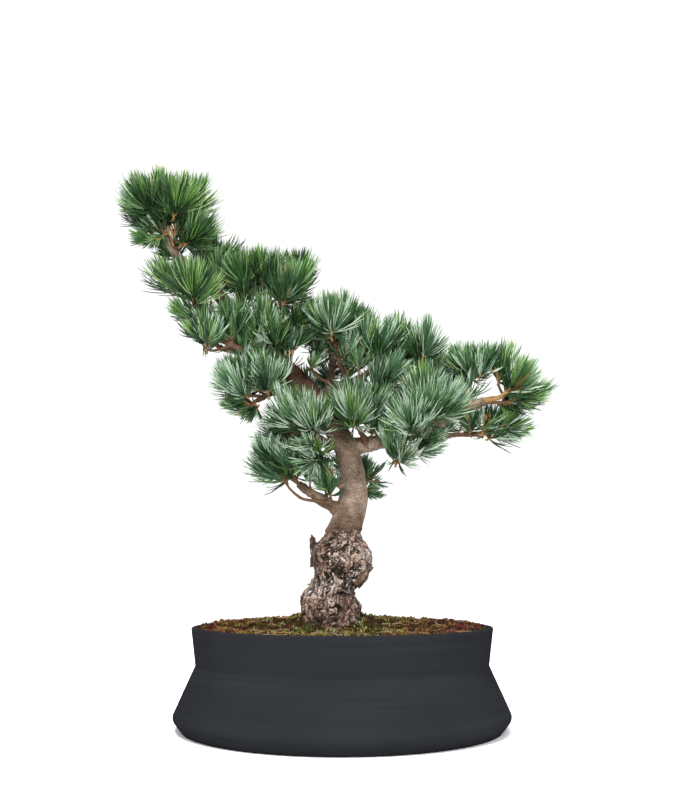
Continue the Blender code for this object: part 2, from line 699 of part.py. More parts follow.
def shoot_body(dice, foot, along, own, others, rods):
    """A slim core with whorls of needles, as one closed body from its foot to its bud."""
    side, back = frame_round(along)
    phase = dice.uniform(0, 2 * math.pi)
    bm = bmesh.new()
    outs = []
    for k in range(2 * NEEDLES_PER_WHORL):
        turn = phase + math.pi * k / NEEDLES_PER_WHORL
        outs.append(side * math.cos(turn) + back * math.sin(turn))
    below = None
    for height, radius, thickness, swing in WHORLS:
        middle = foot + along * height
        rings = []
        for lift in (-thickness / 2, thickness / 2):
            ring = [bm.verts.new(middle + along * lift + out * radius) for out in outs[0::2]]
            rings.append(ring)
        lower, upper = rings
        if below is None:
            close_ring(bm, lower, foot - along * TWIG_RADIUS)
        else:
            for k in range(NEEDLES_PER_WHORL):
                after = (k + 1) % NEEDLES_PER_WHORL
                bm.faces.new((below[k], below[after], lower[after], lower[k]))
        for k in range(NEEDLES_PER_WHORL):
            after = (k + 1) % NEEDLES_PER_WHORL
            root = middle + outs[2 * k + 1] * radius
            tip = needle_tip(dice, root, along, outs[2 * k + 1], swing, own, others, rods)
            base = (lower[k], lower[after], upper[after], upper[k])
            if tip is None:
                bm.faces.new(base)
            else:
                close_ring(bm, base, tip)
        below = upper
    close_ring(bm, below, foot + along * SHOOT_LENGTH)
    return bm


def close_ring(bm, ring, tip):
    """Triangles from each side of a ring of corners to one point."""
    point = bm.verts.new(tip)
    for k in range(len(ring)):
        bm.faces.new((ring[k], ring[(k + 1) % len(ring)], point))


def mass_pieces(entry, own, others, rods):
    foot, heart = entry["foot"], entry["heart"]
    knee = foot + entry["leave"] * COLLAR_LENGTH
    past = (heart - knee).normalized() * TWIG_RADIUS
    pieces = [rod(foot, knee + entry["leave"] * STEM_RADIUS, STEM_RADIUS, STEM_RADIUS, 4)]
    pieces.append(rod(knee, heart + past, STEM_RADIUS * 0.94, TWIG_RADIUS, 4))
    for place, along in entry["shoots"]:
        close = near(rods, place, NEEDLE_LENGTH + SHOOT_LENGTH)
        if place != heart:
            if not line_is_free(heart, place, own, others, close, TWIG_RADIUS + CLEAR):
                continue
            pieces.append(rod(heart, place + along * TWIG_RADIUS, TWIG_RADIUS, TWIG_RADIUS * 0.8, 3))
        pieces.append(shoot_body(entry["dice"], place, along, own, others, close))
    return pieces


def make_masses(routes, collection):
    plan = plan_masses(routes)
    rods = limb_rods(routes)
    sites = {name: mass_sites(entry) for name, entry in plan.items()}
    for name, entry in plan.items():
        others = [site for other, places in sites.items() if other != name for site in places]
        pieces = mass_pieces(entry, sites[name], others, rods)
        fuse(name, pieces, collection, "needles")


def main():
    clear_scene()
    plant = new_collection(PLANT)
    cutters = new_collection("cutters")
    routes = all_routes()
    trunk_cutter = make_trunk(routes, plant, cutters)[1]
    make_pot(plant, cutters)
    make_soil(plant, trunk_cutter)
    make_limbs(routes, plant, cutters, trunk_cutter)
    make_masses(routes, plant)


main()
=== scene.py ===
"""The looks of a japanese white pine bonsai in its pot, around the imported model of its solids.

Units are metres and +Z is up. The tree grows by the same rule as its solids, carried on to
finer twigs and needles.
"""
import math
import random

import bmesh
import bpy
import numpy as np
from mathutils import Matrix, Vector, noise

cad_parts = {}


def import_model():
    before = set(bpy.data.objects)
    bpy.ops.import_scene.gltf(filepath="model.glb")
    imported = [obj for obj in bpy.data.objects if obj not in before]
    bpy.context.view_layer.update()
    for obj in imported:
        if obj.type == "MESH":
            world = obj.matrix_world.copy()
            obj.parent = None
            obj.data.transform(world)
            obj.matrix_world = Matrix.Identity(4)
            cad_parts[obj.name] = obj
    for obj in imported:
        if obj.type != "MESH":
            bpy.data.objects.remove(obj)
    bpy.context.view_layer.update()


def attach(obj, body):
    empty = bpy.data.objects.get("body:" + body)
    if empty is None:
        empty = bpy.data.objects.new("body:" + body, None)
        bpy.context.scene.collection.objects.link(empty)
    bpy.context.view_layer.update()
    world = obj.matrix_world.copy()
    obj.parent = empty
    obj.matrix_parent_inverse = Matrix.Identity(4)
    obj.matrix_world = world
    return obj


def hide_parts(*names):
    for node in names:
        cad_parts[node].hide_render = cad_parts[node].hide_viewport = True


GOLDEN_ANGLE = math.pi * (3 - math.sqrt(5))

# Camera: low in front of the pot, tilted up
CAMERA_PLACE = (0.0086, -1.150, 0.177)
CAMERA_TILT = 9.7
CAMERA_LENS = 44.1
CAMERA_SENSOR = 36

# The tree's rule, with the same values as its solids have
TRUNK_STATIONS = (
    (-0.0120, 0.000, 0.1000, 0.0318),
    (-0.0138, 0.000, 0.1289, 0.0333),
    (-0.0127, 0.000, 0.1515, 0.0282),
    (-0.0104, 0.000, 0.1594, 0.0262),
    (-0.0018, 0.000, 0.1833, 0.0345),
    (-0.0003, 0.000, 0.1970, 0.0352),
    (0.0010, 0.000, 0.2130, 0.0232),
    (0.0045, 0.000, 0.2270, 0.0190),
    (0.0125, 0.002, 0.2580, 0.0170),
    (0.0086, 0.004, 0.2987, 0.0143),
    (-0.0021, 0.007, 0.3277, 0.0138),
    (-0.0311, 0.012, 0.3732, 0.0135),
    (-0.0725, 0.012, 0.4174, 0.0121),
    (-0.0984, 0.012, 0.4484, 0.0105),
    (-0.1566, 0.010, 0.5094, 0.0073),
    (-0.1998, 0.005, 0.5498, 0.0055),
    (-0.2219, 0.000, 0.5800, 0.0039),
)
ROUTE_STEPS = 2
ROOT_LOBES = 5
ROOT_LOBE_DEPTH = 0.09
ROOT_LOBE_FADE = 0.030
ROOT_LOBE_TURN = 0.6
BURLS = (
    (0.187, 205, 0.016, 0.0035),
    (0.189, 330, 0.018, 0.0030),
    (0.170, 20, 0.012, 0.0045),
    (0.140, 170, 0.010, 0.0045),
    (0.136, 345, 0.011, 0.0035),
    (0.200, 90, 0.018, 0.0035),
    (0.150, 100, 0.016, 0.0040),
)
LIMBS = {
    "bough_low_left": ("trunk", 0.245, 0.0085, 0.0035,
        ((-0.022, -0.005, 0.253), (-0.039, -0.008, 0.264), (-0.051, -0.010, 0.273))),
    "limb_low_inner": ("trunk", 0.305, 0.0058, 0.0032,
        ((-0.009, -0.010, 0.276), (-0.018, -0.017, 0.286), (-0.024, -0.022, 0.297))),
    "bough_low_back": ("trunk", 0.287, 0.0060, 0.0035,
        ((0.016, 0.025, 0.264), (0.021, 0.042, 0.270), (0.023, 0.056, 0.277))),
    "bough_right": ("trunk", 0.385, 0.0095, 0.0048,
        ((0.050, -0.002, 0.325), (0.103, -0.009, 0.341), (0.165, -0.016, 0.370))),
    "bough_right_low": ("bough_right", 0.458, 0.0044, 0.0029,
        ((0.105, 0.008, 0.333), (0.136, 0.010, 0.333), (0.162, 0.009, 0.334))),
    "limb_fork": ("bough_right", 0.150, 0.0046, 0.0030,
        ((0.024, -0.010, 0.329), (0.019, -0.017, 0.337))),
    "limb_mid": ("bough_right", 0.300, 0.0042, 0.0028,
        ((0.054, 0.008, 0.336), (0.051, 0.017, 0.344))),
    "limb_front": ("bough_right", 0.480, 0.0047, 0.0031,
        ((0.087, -0.025, 0.334), (0.090, -0.041, 0.334))),
    "limb_under": ("bough_right", 0.370, 0.0038, 0.0027,
        ((0.069, -0.013, 0.316), (0.067, -0.018, 0.306))),
    "limb_rise": ("bough_right", 0.640, 0.0052, 0.0032,
        ((0.108, 0.010, 0.358), (0.104, 0.022, 0.380), (0.098, 0.028, 0.406))),
    "bough_back_right": ("bough_right", 0.400, 0.0050, 0.0032,
        ((0.080, 0.024, 0.342), (0.097, 0.045, 0.356), (0.112, 0.061, 0.370))),
    "bough_upper_right": ("trunk", 0.505, 0.0066, 0.0036,
        ((-0.009, 0.008, 0.389), (0.013, 0.003, 0.395), (0.032, -0.003, 0.408))),
    "limb_centre": ("bough_upper_right", 0.600, 0.0038, 0.0027,
        ((0.001, -0.003, 0.405), (-0.007, -0.006, 0.430))),
    "bough_left_mid": ("trunk", 0.505, 0.0066, 0.0025,
        ((-0.055, 0.006, 0.383), (-0.081, 0.000, 0.383), (-0.104, -0.004, 0.371))),
    "limb_left_mid": ("bough_left_mid", 0.520, 0.0036, 0.0025,
        ((-0.083, -0.010, 0.384), (-0.096, -0.016, 0.383))),
    "bough_left_centre": ("trunk", 0.404, 0.0056, 0.0030,
        ((-0.018, -0.002, 0.320), (-0.034, -0.004, 0.330), (-0.046, -0.004, 0.334))),
    "limb_left_front": ("bough_left_centre", 0.350, 0.0037, 0.0026,
        ((-0.025, -0.015, 0.326), (-0.030, -0.026, 0.328))),
    "bough_left_up": ("trunk", 0.635, 0.0066, 0.0036,
        ((-0.099, 0.004, 0.427), (-0.113, -0.003, 0.429), (-0.125, -0.008, 0.432))),
    "limb_left_tip": ("bough_left_up", 0.620, 0.0034, 0.0023,
        ((-0.129, 0.007, 0.433), (-0.145, 0.008, 0.438), (-0.158, 0.006, 0.445))),
    "limb_left_rise": ("bough_left_up", 0.550, 0.0035, 0.0026,
        ((-0.124, -0.023, 0.432), (-0.153, -0.034, 0.447), (-0.171, -0.038, 0.475))),
    "limb_left_out": ("trunk", 0.872, 0.0038, 0.0026,
        ((-0.188, 0.003, 0.518), (-0.198, 0.001, 0.514))),
    "limb_crown_back": ("trunk", 0.850, 0.0042, 0.0030,
        ((-0.161, 0.022, 0.525), (-0.159, 0.031, 0.536))),
    "limb_crown_right": ("trunk", 0.690, 0.0052, 0.0034,
        ((-0.093, 0.003, 0.468), (-0.088, -0.006, 0.492))),
    "limb_crown_low": ("trunk", 0.640, 0.0040, 0.0028,
        ((-0.073, 0.017, 0.444), (-0.066, 0.019, 0.458))),
    "bough_back_mid": ("trunk", 0.478, 0.0062, 0.0036,
        ((-0.021, 0.036, 0.385), (-0.016, 0.056, 0.411), (-0.014, 0.070, 0.437))),
    "bough_back_left": ("trunk", 0.423, 0.0052, 0.0032,
        ((-0.021, 0.030, 0.344), (-0.038, 0.048, 0.352), (-0.054, 0.060, 0.359))),
    "limb_back_up": ("trunk", 0.754, 0.0046, 0.0033,
        ((-0.128, 0.032, 0.498), (-0.133, 0.050, 0.518))),
}
LIMB_SPACING = 0.020
MASSES = {
    "mass_low_left": ("bough_low_left", 1.0, (-0.059, -0.012, 0.287), (-0.35, -0.10, 0.90), 4, 0.013),
    "mass_low_inner": ("limb_low_inner", 1.0, (-0.028, -0.028, 0.304), (-0.35, -0.70, -0.60), 3, 0.012),
    "mass_low_back": ("bough_low_back", 1.0, (0.022, 0.067, 0.286), (0.10, 0.80, 0.60), 3, 0.012),
    "mass_left_centre": ("bough_left_centre", 1.0, (-0.062, -0.007, 0.337), (-0.50, -0.10, 0.75), 3, 0.014),
    "mass_left_front": ("limb_left_front", 1.0, (-0.031, -0.036, 0.331), (0.00, -0.90, 0.35), 2, 0.011),
    "mass_left_mid": ("bough_left_mid", 1.0, (-0.111, -0.005, 0.366), (-0.75, 0.00, -0.10), 2, 0.010),
    "mass_left_high": ("limb_left_mid", 1.0, (-0.109, -0.021, 0.387), (-0.55, -0.20, 0.75), 4, 0.020),
    "mass_left_up": ("bough_left_up", 1.0, (-0.134, -0.010, 0.446), (-0.05, -0.05, 0.95), 3, 0.010),
    "mass_left_tip": ("limb_left_tip", 1.0, (-0.165, 0.004, 0.454), (-0.05, 0.10, 1.00), 2, 0.011),
    "mass_crown_front": ("limb_left_rise", 1.0, (-0.174, -0.040, 0.487), (0.05, -0.20, 0.97), 3, 0.013),
    "mass_crown_left": ("limb_left_out", 1.0, (-0.207, -0.002, 0.512), (-0.40, 0.00, 0.90), 2, 0.011),
    "mass_crown_back": ("limb_crown_back", 1.0, (-0.160, 0.035, 0.549), (0.15, 0.10, 0.95), 3, 0.016),
    "mass_crown_right": ("limb_crown_right", 1.0, (-0.086, -0.009, 0.505), (0.20, -0.10, 0.97), 4, 0.028),
    "mass_crown_low": ("limb_crown_low", 1.0, (-0.053, 0.016, 0.460), (0.50, -0.25, 0.60), 4, 0.025),
    "mass_apex_top": ("trunk", 1.0, (-0.2165, 0.000, 0.600), (0.00, -0.05, 1.00), 7, 0.024),
    "mass_apex_right": ("trunk", 0.955, (-0.193, -0.008, 0.567), (0.65, -0.20, 0.75), 3, 0.013),
    "mass_centre_top": ("limb_centre", 1.0, (-0.009, -0.008, 0.445), (0.00, -0.20, 0.95), 5, 0.028),
    "mass_upper_right": ("bough_upper_right", 1.0, (0.040, -0.006, 0.420), (0.40, -0.20, 0.85), 3, 0.016),
    "mass_right_top": ("limb_rise", 1.0, (0.094, 0.030, 0.420), (0.20, 0.00, 0.95), 5, 0.030),
    "mass_fork": ("limb_fork", 1.0, (0.017, -0.022, 0.346), (0.10, -0.50, 0.85), 4, 0.015),
    "mass_mid": ("limb_mid", 1.0, (0.050, 0.024, 0.354), (0.00, 0.30, 0.90), 3, 0.014),
    "mass_front": ("limb_front", 1.0, (0.092, -0.050, 0.342), (0.10, -0.70, 0.70), 4, 0.018),
    "mass_under": ("limb_under", 1.0, (0.065, -0.023, 0.298), (0.30, -0.70, 0.40), 2, 0.010),
    "mass_right_low": ("bough_right_low", 1.0, (0.171, 0.009, 0.336), (0.55, 0.00, 0.80), 3, 0.013),
    "mass_right_up": ("bough_right", 0.880, (0.152, -0.016, 0.400), (0.05, 0.00, 1.00), 3, 0.016),
    "mass_right_out": ("bough_right", 1.0, (0.190, -0.017, 0.377), (0.80, 0.00, 0.60), 4, 0.017),
    "mass_back_mid": ("bough_back_mid", 1.0, (-0.013, 0.077, 0.450), (0.00, 0.80, 0.60), 5, 0.031),
    "mass_back_left": ("bough_back_left", 1.0, (-0.063, 0.067, 0.364), (-0.40, 0.80, 0.40), 3, 0.025),
    "mass_back_up": ("limb_back_up", 1.0, (-0.136, 0.060, 0.529), (0.00, 0.70, 0.60), 3, 0.026),
    "mass_back_right": ("bough_back_right", 1.0, (0.122, 0.071, 0.380), (0.40, 0.80, 0.40), 4, 0.025),
}
SEED = 1913
CLEAR = 0.0003
STEM_RADIUS = 0.0024
TWIG_RADIUS = 0.0017
SHOOT_LENGTH = 0.013
SHOOT_TURN = 1.6 * GOLDEN_ANGLE
SHOOT_SPREAD = 0.70
SHOOT_REACH = (0.80, 1.15)
SHOOT_RISE = (-0.45, 0.35)
NEEDLE_LENGTH = 0.046
NEEDLE_TESTS = 8
SPACE_MARGIN = 0.0019

# Bark of the trunk and limbs
STOCK_TOP = 0.2180        # the graft: rough bark below, smooth bark above
STOCK_BLEND = 0.0022
STOCK_FOOT = 0.158        # the rough bark is darker and redder from here down
STOCK_FOOT_FADE = 0.022
STOCK_INSET = 0.0030      # the cracks and hollows lie this much deeper than the smooth solid
GRAFT_FADE = 0.024        # height over which the bark above the graft turns from reddish to tan
STOCK_RING = 0.0008       # height of a ring of faces on the old stock
STOCK_SIDES = 240
BARK_RING = 0.0013
BARK_SIDES = 84
PLATE_SIZE = 0.0155
PLATE_STRETCH = 0.42      # plates are longer than wide
PLATE_WARP = 0.95
FINE_WARP = 0.20
CRACK_DEPTH = 0.0032
WANDER_SIZE = 0.016       # size of the bends in the plates' outlines
FINE_WANDER = 0.005       # and of the small ones on them
OPEN_SIZE = 0.012         # size of the areas where the cracks gape or are closed
PLATE_TILTS = (1.7, 2.3, 3.1)     # one per axis, which make a plate's tilt its own
FURROW_SIZE = (0.0095, 0.036)     # width and height of the furrows that run up the stock
FURROW_DEPTH = 0.0018
PLATE_STEP = 0.0016
LAYERS = 3.4              # flaking layers between the lowest and the highest bark
LAYER_DEPTH = 0.0007
GRAIN_SIZE = 0.0018
GRAIN_DEPTH = 0.0007
LUMP_SIZE = 0.019
LUMP_DEPTH = 0.0022
SMOOTH_RELIEF = 0.00055
YOUNG_LUMP_SIZE = 0.011
YOUNG_RING_SIZE = 0.006
YOUNG_RING_STRETCH = 3.2  # rings are wider than tall
YOUNG_RADIUS = 0.008      # a thinner stem has less relief
GRAFT_WANDER = 0.003      # how far the graft's edge goes up and down
GRAFT_WANDER_SIZE = 0.012
STOCK_MARGIN = 0.004      # fine faces go on this far above the graft
CROWN_SHADE_FOOT = 0.30         # painted shade: the trunk's bark is darkened from here up, where the crown shades it
CROWN_SHADE_FADE = 0.05
CROWN_SHADE_TOP = 0.540         # and the painted shade lessens again near its tip
# Splinters of dead wood and torn bark: foot, tip, radius at the foot and at the tip, flatness
SPLINTERS = (
    ((-0.0312, -0.010, 0.1780), (-0.0346, -0.012, 0.2100), 0.0056, 0.0036, 0.95),
    ((-0.0300, -0.016, 0.1800), (-0.0352, -0.016, 0.2135), 0.0040, 0.0014, 0.70),
    ((0.0140, -0.026, 0.1590), (0.0345, -0.022, 0.1775), 0.0028, 0.0008, 1.70),
    ((0.0170, -0.022, 0.1560), (0.0290, -0.019, 0.1665), 0.0024, 0.0006, 1.50),
    ((-0.0280, -0.004, 0.158), (-0.0410, -0.006, 0.1580), 0.0024, 0.0005, 0.60),
    ((-0.0330, -0.004, 0.134), (-0.0465, -0.005, 0.1435), 0.0062, 0.0026, 0.80),
    ((0.0200, 0.000, 0.118), (0.0275, -0.002, 0.1270), 0.0040, 0.0007, 0.50),
    ((0.0230, 0.002, 0.122), (0.0300, 0.002, 0.1220), 0.0030, 0.0006, 0.50),
)
SPLINTER_RINGS = 26
SPLINTER_SIDES = 18
RIDGE_SIZE = 0.0035       # ridges that run along a splinter
RIDGE_DEPTH = 0.28        # share of its radius
LIMB_SIDES = 20
LIMB_RING = 0.0016
LIMB_LUMPS = (0.006, 0.18)        # size, and depth as a share of the radius
LIMB_KNOTS = (0.0045, 0.60)
LIMB_SWELL = (0.015, 0.40)
KNOT_START = 0.25         # noise above this is a knot
COLLAR_FLARE = 0.30       # share by which a limb is thicker where it leaves its parent
COLLAR_REACH = 2.2        # how far out that is seen, in radii of the limb's root
TAN_LIMB = 0.0050         # a limb with a tip radius near this has wholly tan bark
RELIEF_RADIUS = 0.006     # a limb thicker than this has no deeper relief

# Finer twigs and needles
SPRIGS = (2, 4)           # side sprigs of a shoot, fewest and most
SPRIG_LENGTH = (0.009, 0.016)
SPRIG_LEAN = (24, 50)     # degrees away from the shoot
SPRIG_RADIUS = 0.0011
SPRIG_BARE = 0.15         # share of a sprig, from its foot, without needles
SPRIG_PLACES = (-0.010, 0.003)    # where side sprigs leave, along the shoot from its foot
SPRIG_LIFT = 0.30         # how strongly they turn upwards
LEADER_LIFT = 0.15
LEADER_START = 0.002      # the leading sprig starts this far along the shoot
LEADER_LENGTH = (0.9, 1.4)        # in lengths of a shoot
TWIG_TAPER = 0.8          # radius of a twig's end, share of the radius at its foot
TWIG_SINK = 0.002         # how deep a twig starts in what carries it
STEM_SINK = 0.003
STEM_RINGS = 9
TWIG_RINGS = 7
FILL_RINGS = 8
BUD_LENGTH = 0.006
BUD_SHAPE = (0.9, 1.5, 1.6, 1.1, 0.4)     # radii along a bud, in radii of its sprig
# How uneven the radii of stems, twigs, shoots, sprigs and buds are
STEM_UNEVEN = 0.14
TWIG_UNEVEN = 0.12
SHOOT_UNEVEN = 0.15
SPRIG_UNEVEN = 0.22
BUD_UNEVEN = 0.08
LEADER_FASCICLES = 22     # bundles of five needles at the end of a shoot
FASCICLES = 12            # bundles of five needles on a side sprig
NEEDLES_IN_FASCICLE = 5
FASCICLE_SPREAD = 8       # degrees between a needle and its bundle's middle
LOW_SWING = 74            # degrees from the sprig, for its lowest and its last bundle
HIGH_SWING = 8
SWING_WANDER = 8
NEEDLE_SHORTEST = 0.66
NEEDLE_BEND = 0.40        # how far a needle's tip is bent towards the sprig, share of its length
BEND_ALONG = 0.75         # pull of that bend along the sprig, upwards and back
BEND_UP = 0.55
BEND_BACK = 0.2
FAN_START = 6.28          # radians over which the first needle of a bundle is dealt out
NEEDLE_RADIUS = 0.00072
NEEDLE_GLOSS = 0.12
FASCICLE_WANDER = (0.4, 1.5)      # a bundle's spread, in usual spreads
BEND_WANDER = (0.2, 1.4)          # a needle's bend, in usual bends
NEEDLE_ROLL = 0.5                 # radians by which a needle's flat side turns away
REACH_START = 0.002               # a needle may reach this much further to the side than its full length
SHORTEST_CUT = 0.6                # no needle is cut back further
SHADED_FOOT_NEEDLES = 0.25        # share of a sprig's bundles, from its foot, that get the deep green tint: painted shade inside the spray
CANDLE_CHANCE = 0.10      # share of the sprigs that end in a long brown candle
CANDLE_LENGTH = 0.015
ODD_BUNDLES = 0.50        # share of a sprig's bundles with another tint than the sprig's
DROOP_CUT = 0.35          # share by which a needle that points straight down is shorter
# Masses with shorter needles, share of the full length
MASS_NEEDLES = {
    "mass_left_mid": 0.60,
    "mass_left_high": 0.88,
    "mass_crown_low": 0.90,
    "mass_right_up": 0.70,
    "mass_right_out": 0.92,
    "mass_under": 0.80,
    "mass_low_back": 0.62,
}
# Masses on thicker stems, share of a plain stem
STEM_GROWTH = {"mass_right_up": 1.45, "mass_right_out": 1.45, "mass_right_low": 1.2}
# Twigs that fill the crown between the masses: what carries them, share of its length, tip, direction,
# share of a full needle
FILL_TWIGS = (
    ("trunk", 0.965, (-0.2230, -0.006, 0.5754), (-0.75, -0.20, -0.35), 0.64),
    ("trunk", 0.990, (-0.2255, 0.000, 0.6148), (-0.05, 0.00, 1.00), 0.88),
    ("trunk", 0.990, (-0.2365, -0.004, 0.6017), (-0.70, -0.10, 0.65), 0.85),
    ("trunk", 0.960, (-0.2051, 0.016, 0.5830), (0.30, 0.30, 0.60), 0.75),
    ("trunk", 0.975, (-0.2181, 0.004, 0.5917), (-0.10, -0.50, 0.80), 0.85),
    ("trunk", 0.940, (-0.2129, 0.022, 0.5591), (-0.45, 0.40, 0.70), 0.60),
    ("trunk", 0.670, (-0.0964, -0.010, 0.4469), (0.00, -0.40, 0.90), 1.00),
    ("limb_crown_low", 0.200, (-0.0798, -0.006, 0.4331), (0.10, -0.40, 1.00), 0.95),
    ("trunk", 0.620, (-0.0630, -0.006, 0.4283), (0.70, -0.30, 0.60), 0.70),
    ("bough_upper_right", 0.850, (0.0441, -0.008, 0.3866), (0.55, -0.30, 0.60), 0.90),
    ("limb_left_mid", 0.600, (-0.0878, -0.016, 0.3792), (-0.10, -0.60, 0.80), 0.90),
    ("bough_left_mid", 0.850, (-0.1236, -0.012, 0.3835), (-0.40, -0.30, 0.85), 0.75),
    ("limb_left_rise", 0.750, (-0.1690, -0.044, 0.4579), (-0.80, -0.40, 0.35), 0.60),
    ("limb_left_rise", 0.350, (-0.1584, -0.040, 0.4303), (-0.05, -0.60, 0.75), 0.75),
    ("bough_right_low", 0.200, (0.0866, 0.000, 0.3208), (0.50, -0.60, -0.15), 0.85),
    ("bough_right", 0.960, (0.2058, -0.016, 0.3708), (0.95, -0.10, 0.20), 0.74),
    ("bough_right_low", 0.950, (0.1896, 0.006, 0.3408), (0.90, -0.10, -0.20), 0.70),
    ("bough_right", 0.200, (0.0344, -0.012, 0.3311), (0.20, -0.50, 0.60), 0.42),
    ("bough_low_left", 0.950, (-0.0810, -0.014, 0.2957), (-0.55, -0.20, 0.75), 0.60),
    ("limb_rise", 0.900, (0.0672, 0.020, 0.4365), (0.00, -0.10, 1.00), 0.85),
    ("limb_centre", 0.950, (-0.0010, -0.006, 0.4577), (0.10, -0.10, 1.00), 0.80),
    ("limb_crown_right", 0.950, (-0.0566, -0.008, 0.5155), (0.30, -0.10, 0.95), 0.80),
    ("limb_crown_right", 0.900, (-0.0983, 0.000, 0.5178), (-0.10, -0.10, 1.00), 0.85),
    ("bough_left_up", 0.500, (-0.1185, -0.012, 0.4282), (0.00, -0.40, 0.90), 0.50),
    ("bough_low_back", 0.600, (0.0220, 0.045, 0.2701), (0.70, 0.20, -0.35), 0.42),
    ("bough_upper_right", 0.350, (-0.0356, -0.004, 0.4165), (0.30, -0.30, 0.60), 0.45),
    ("bough_right_low", 0.850, (0.1515, 0.006, 0.3384), (-0.10, -0.20, 1.00), 0.48),
    ("bough_low_left", 0.300, (-0.0158, -0.008, 0.2636), (-0.20, -0.30, 0.90), 0.60),
)
# A thin twig that hangs in a loop under the lowest bough
LOOP_TWIG = ((-0.0134, -0.012, 0.2506), (-0.0283, -0.015, 0.2527), (-0.0456, -0.017, 0.2549),
             (-0.0584, -0.017, 0.2641), (-0.0666, -0.016, 0.2746), (-0.0727, -0.014, 0.2852))
LOOP_RADII = (0.0021, 0.0011)

# Places where sky shows through the crown or beside it, and their radius
SKY_GAPS = (
    (0.0098, -0.010, 0.3290, 0.0075),
    (0.1838, -0.016, 0.3816, 0.0093),
    (-0.0775, -0.010, 0.3671, 0.0110),
    (-0.0639, 0.000, 0.3591, 0.0075),
    (-0.0240, -0.015, 0.3154, 0.0058),
    (-0.1350, -0.005, 0.3495, 0.0125),
    (-0.0835, 0.070, 0.3779, 0.0130),
    (-0.0500, -0.005, 0.4285, 0.0092),
    (0.0610, 0.060, 0.2960, 0.0130),
    (0.0471, 0.060, 0.3171, 0.0110),
    (0.1287, 0.030, 0.4742, 0.0200),
    (0.1520, -0.016, 0.3816, 0.0075),
    (-0.1027, -0.012, 0.2645, 0.0120),
    (-0.1535, 0.000, 0.6473, 0.0090),
    (-0.2833, 0.000, 0.5826, 0.0160),
    (-0.1476, 0.010, 0.5991, 0.0165),
    (-0.1924, -0.020, 0.4445, 0.0165),
    (0.0411, -0.020, 0.3090, 0.0100),
    (0.1597, 0.070, 0.3613, 0.0160),
    (0.1629, 0.070, 0.3971, 0.0100),
    (-0.0241, -0.005, 0.5151, 0.0150),
)
GAP_DEPTH = 3.5           # how much deeper than wide they are
LIMB_SHOOTS = (0.40, 0.92, 0.021)     # where small shoots stand on a limb: from, to, how far apart
TRUNK_SHOOTS = (0.52, 0.88, 0.026)
LIMB_SHOOT_LENGTH = 0.010
LIMB_SHOOT_LIFT = 0.3     # how strongly a limb's shoot turns upwards
LIMB_SPRIG_LIFT = 0.4     # and the sprig at its end
LIMB_SHOOT_LEAN = 0.6     # how strongly it leans along the limb
LIMB_SHOOT_ROOT = 0.8     # share of the limb's radius at which it starts
LIMB_SHOOT_FASCICLES = 9
LIMB_SHOOT_NEEDLE = 0.80  # share of a full needle
NEEDLE_RINGS = ((0.0, 0.85), (0.30, 1.0), (0.60, 0.95), (0.84, 0.70))   # share of the length, of the radius
NEEDLE_OVERLAP = 0.006    # how far needles of neighbouring masses reach between each other
NEEDLE_CLEAR = 0.0007     # from a needle's tip half to a limb's bark
NEEDLE_CHECKS = (0.3, 0.6, 0.85, 1.0)     # shares of its length where that is looked at
NEAR = 0.08               # limbs further than this from a shoot's foot are out of its needles' reach

HIGH_PART = (0.40, 0.51)  # heights between which the crown turns from blue to green
RIGHT_PART = (0.13, 0.18)  # and from where to where at the right it turns brighter

# Needle colours, outer face and inner faces, dealt out by spray
TINTS = {
    "deep": ((0.008, 0.026, 0.006), (0.030, 0.064, 0.026)),
    "green": ((0.023, 0.071, 0.015), (0.124, 0.218, 0.094)),
    "blue": ((0.030, 0.078, 0.036), (0.285, 0.385, 0.278)),
    "pale": ((0.050, 0.108, 0.048), (0.390, 0.485, 0.372)),
    "bright": ((0.064, 0.150, 0.026), (0.182, 0.288, 0.104)),
    "dead": ((0.120, 0.056, 0.018), (0.160, 0.088, 0.034)),
}


# Meshes

class Pile:
    """Triangles, each with the number of its material, gathered into one mesh."""

    def __init__(self):
        self.corners = []
        self.faces = []
        self.slots = []
        self.count = 0

    def add(self, corners, faces, slots):
        corners = np.asarray(corners, float)
        faces = np.asarray(faces, int)
        self.corners.append(corners)
        self.faces.append(faces + self.count)
        self.slots.append(np.broadcast_to(np.asarray(slots, int), (len(faces),)))
        self.count += len(corners)

    def make(self, name, materials, smooth):
        corners = np.concatenate(self.corners)
        faces = np.concatenate(self.faces)
        made = mesh_object(name, corners, faces, materials, smooth)
        made.data.polygons.foreach_set("material_index", np.concatenate(self.slots).astype(np.int32))
        return made


def add_object(name, data):
    made = bpy.data.objects.new(name, data)
    bpy.context.scene.collection.objects.link(made)
    return made


def mesh_object(name, corners, faces, materials, smooth):
    corners = np.asarray(corners, np.float32)
    faces = np.asarray(faces, np.int32)
    count, sides = faces.shape
    mesh = bpy.data.meshes.new(name)
    mesh.vertices.add(len(corners))
    mesh.vertices.foreach_set("co", corners.ravel())
    mesh.loops.add(count * sides)
    mesh.loops.foreach_set("vertex_index", faces.ravel())
    mesh.polygons.add(count)
    mesh.polygons.foreach_set("loop_start", np.arange(0, count * sides, sides, dtype=np.int32))
    mesh.update(calc_edges=True)
    if smooth:
        mesh.shade_smooth()
    else:
        mesh.shade_flat()
    for entry in materials:
        mesh.materials.append(entry)
    return add_object(name, mesh)


def set_attribute(thing, name, values):
    made = thing.data.attributes.new(name, "FLOAT", "POINT")
    made.data.foreach_set("value", np.asarray(values, np.float32))


def unit(v):
    return v / np.linalg.norm(v, axis=-1, keepdims=True)


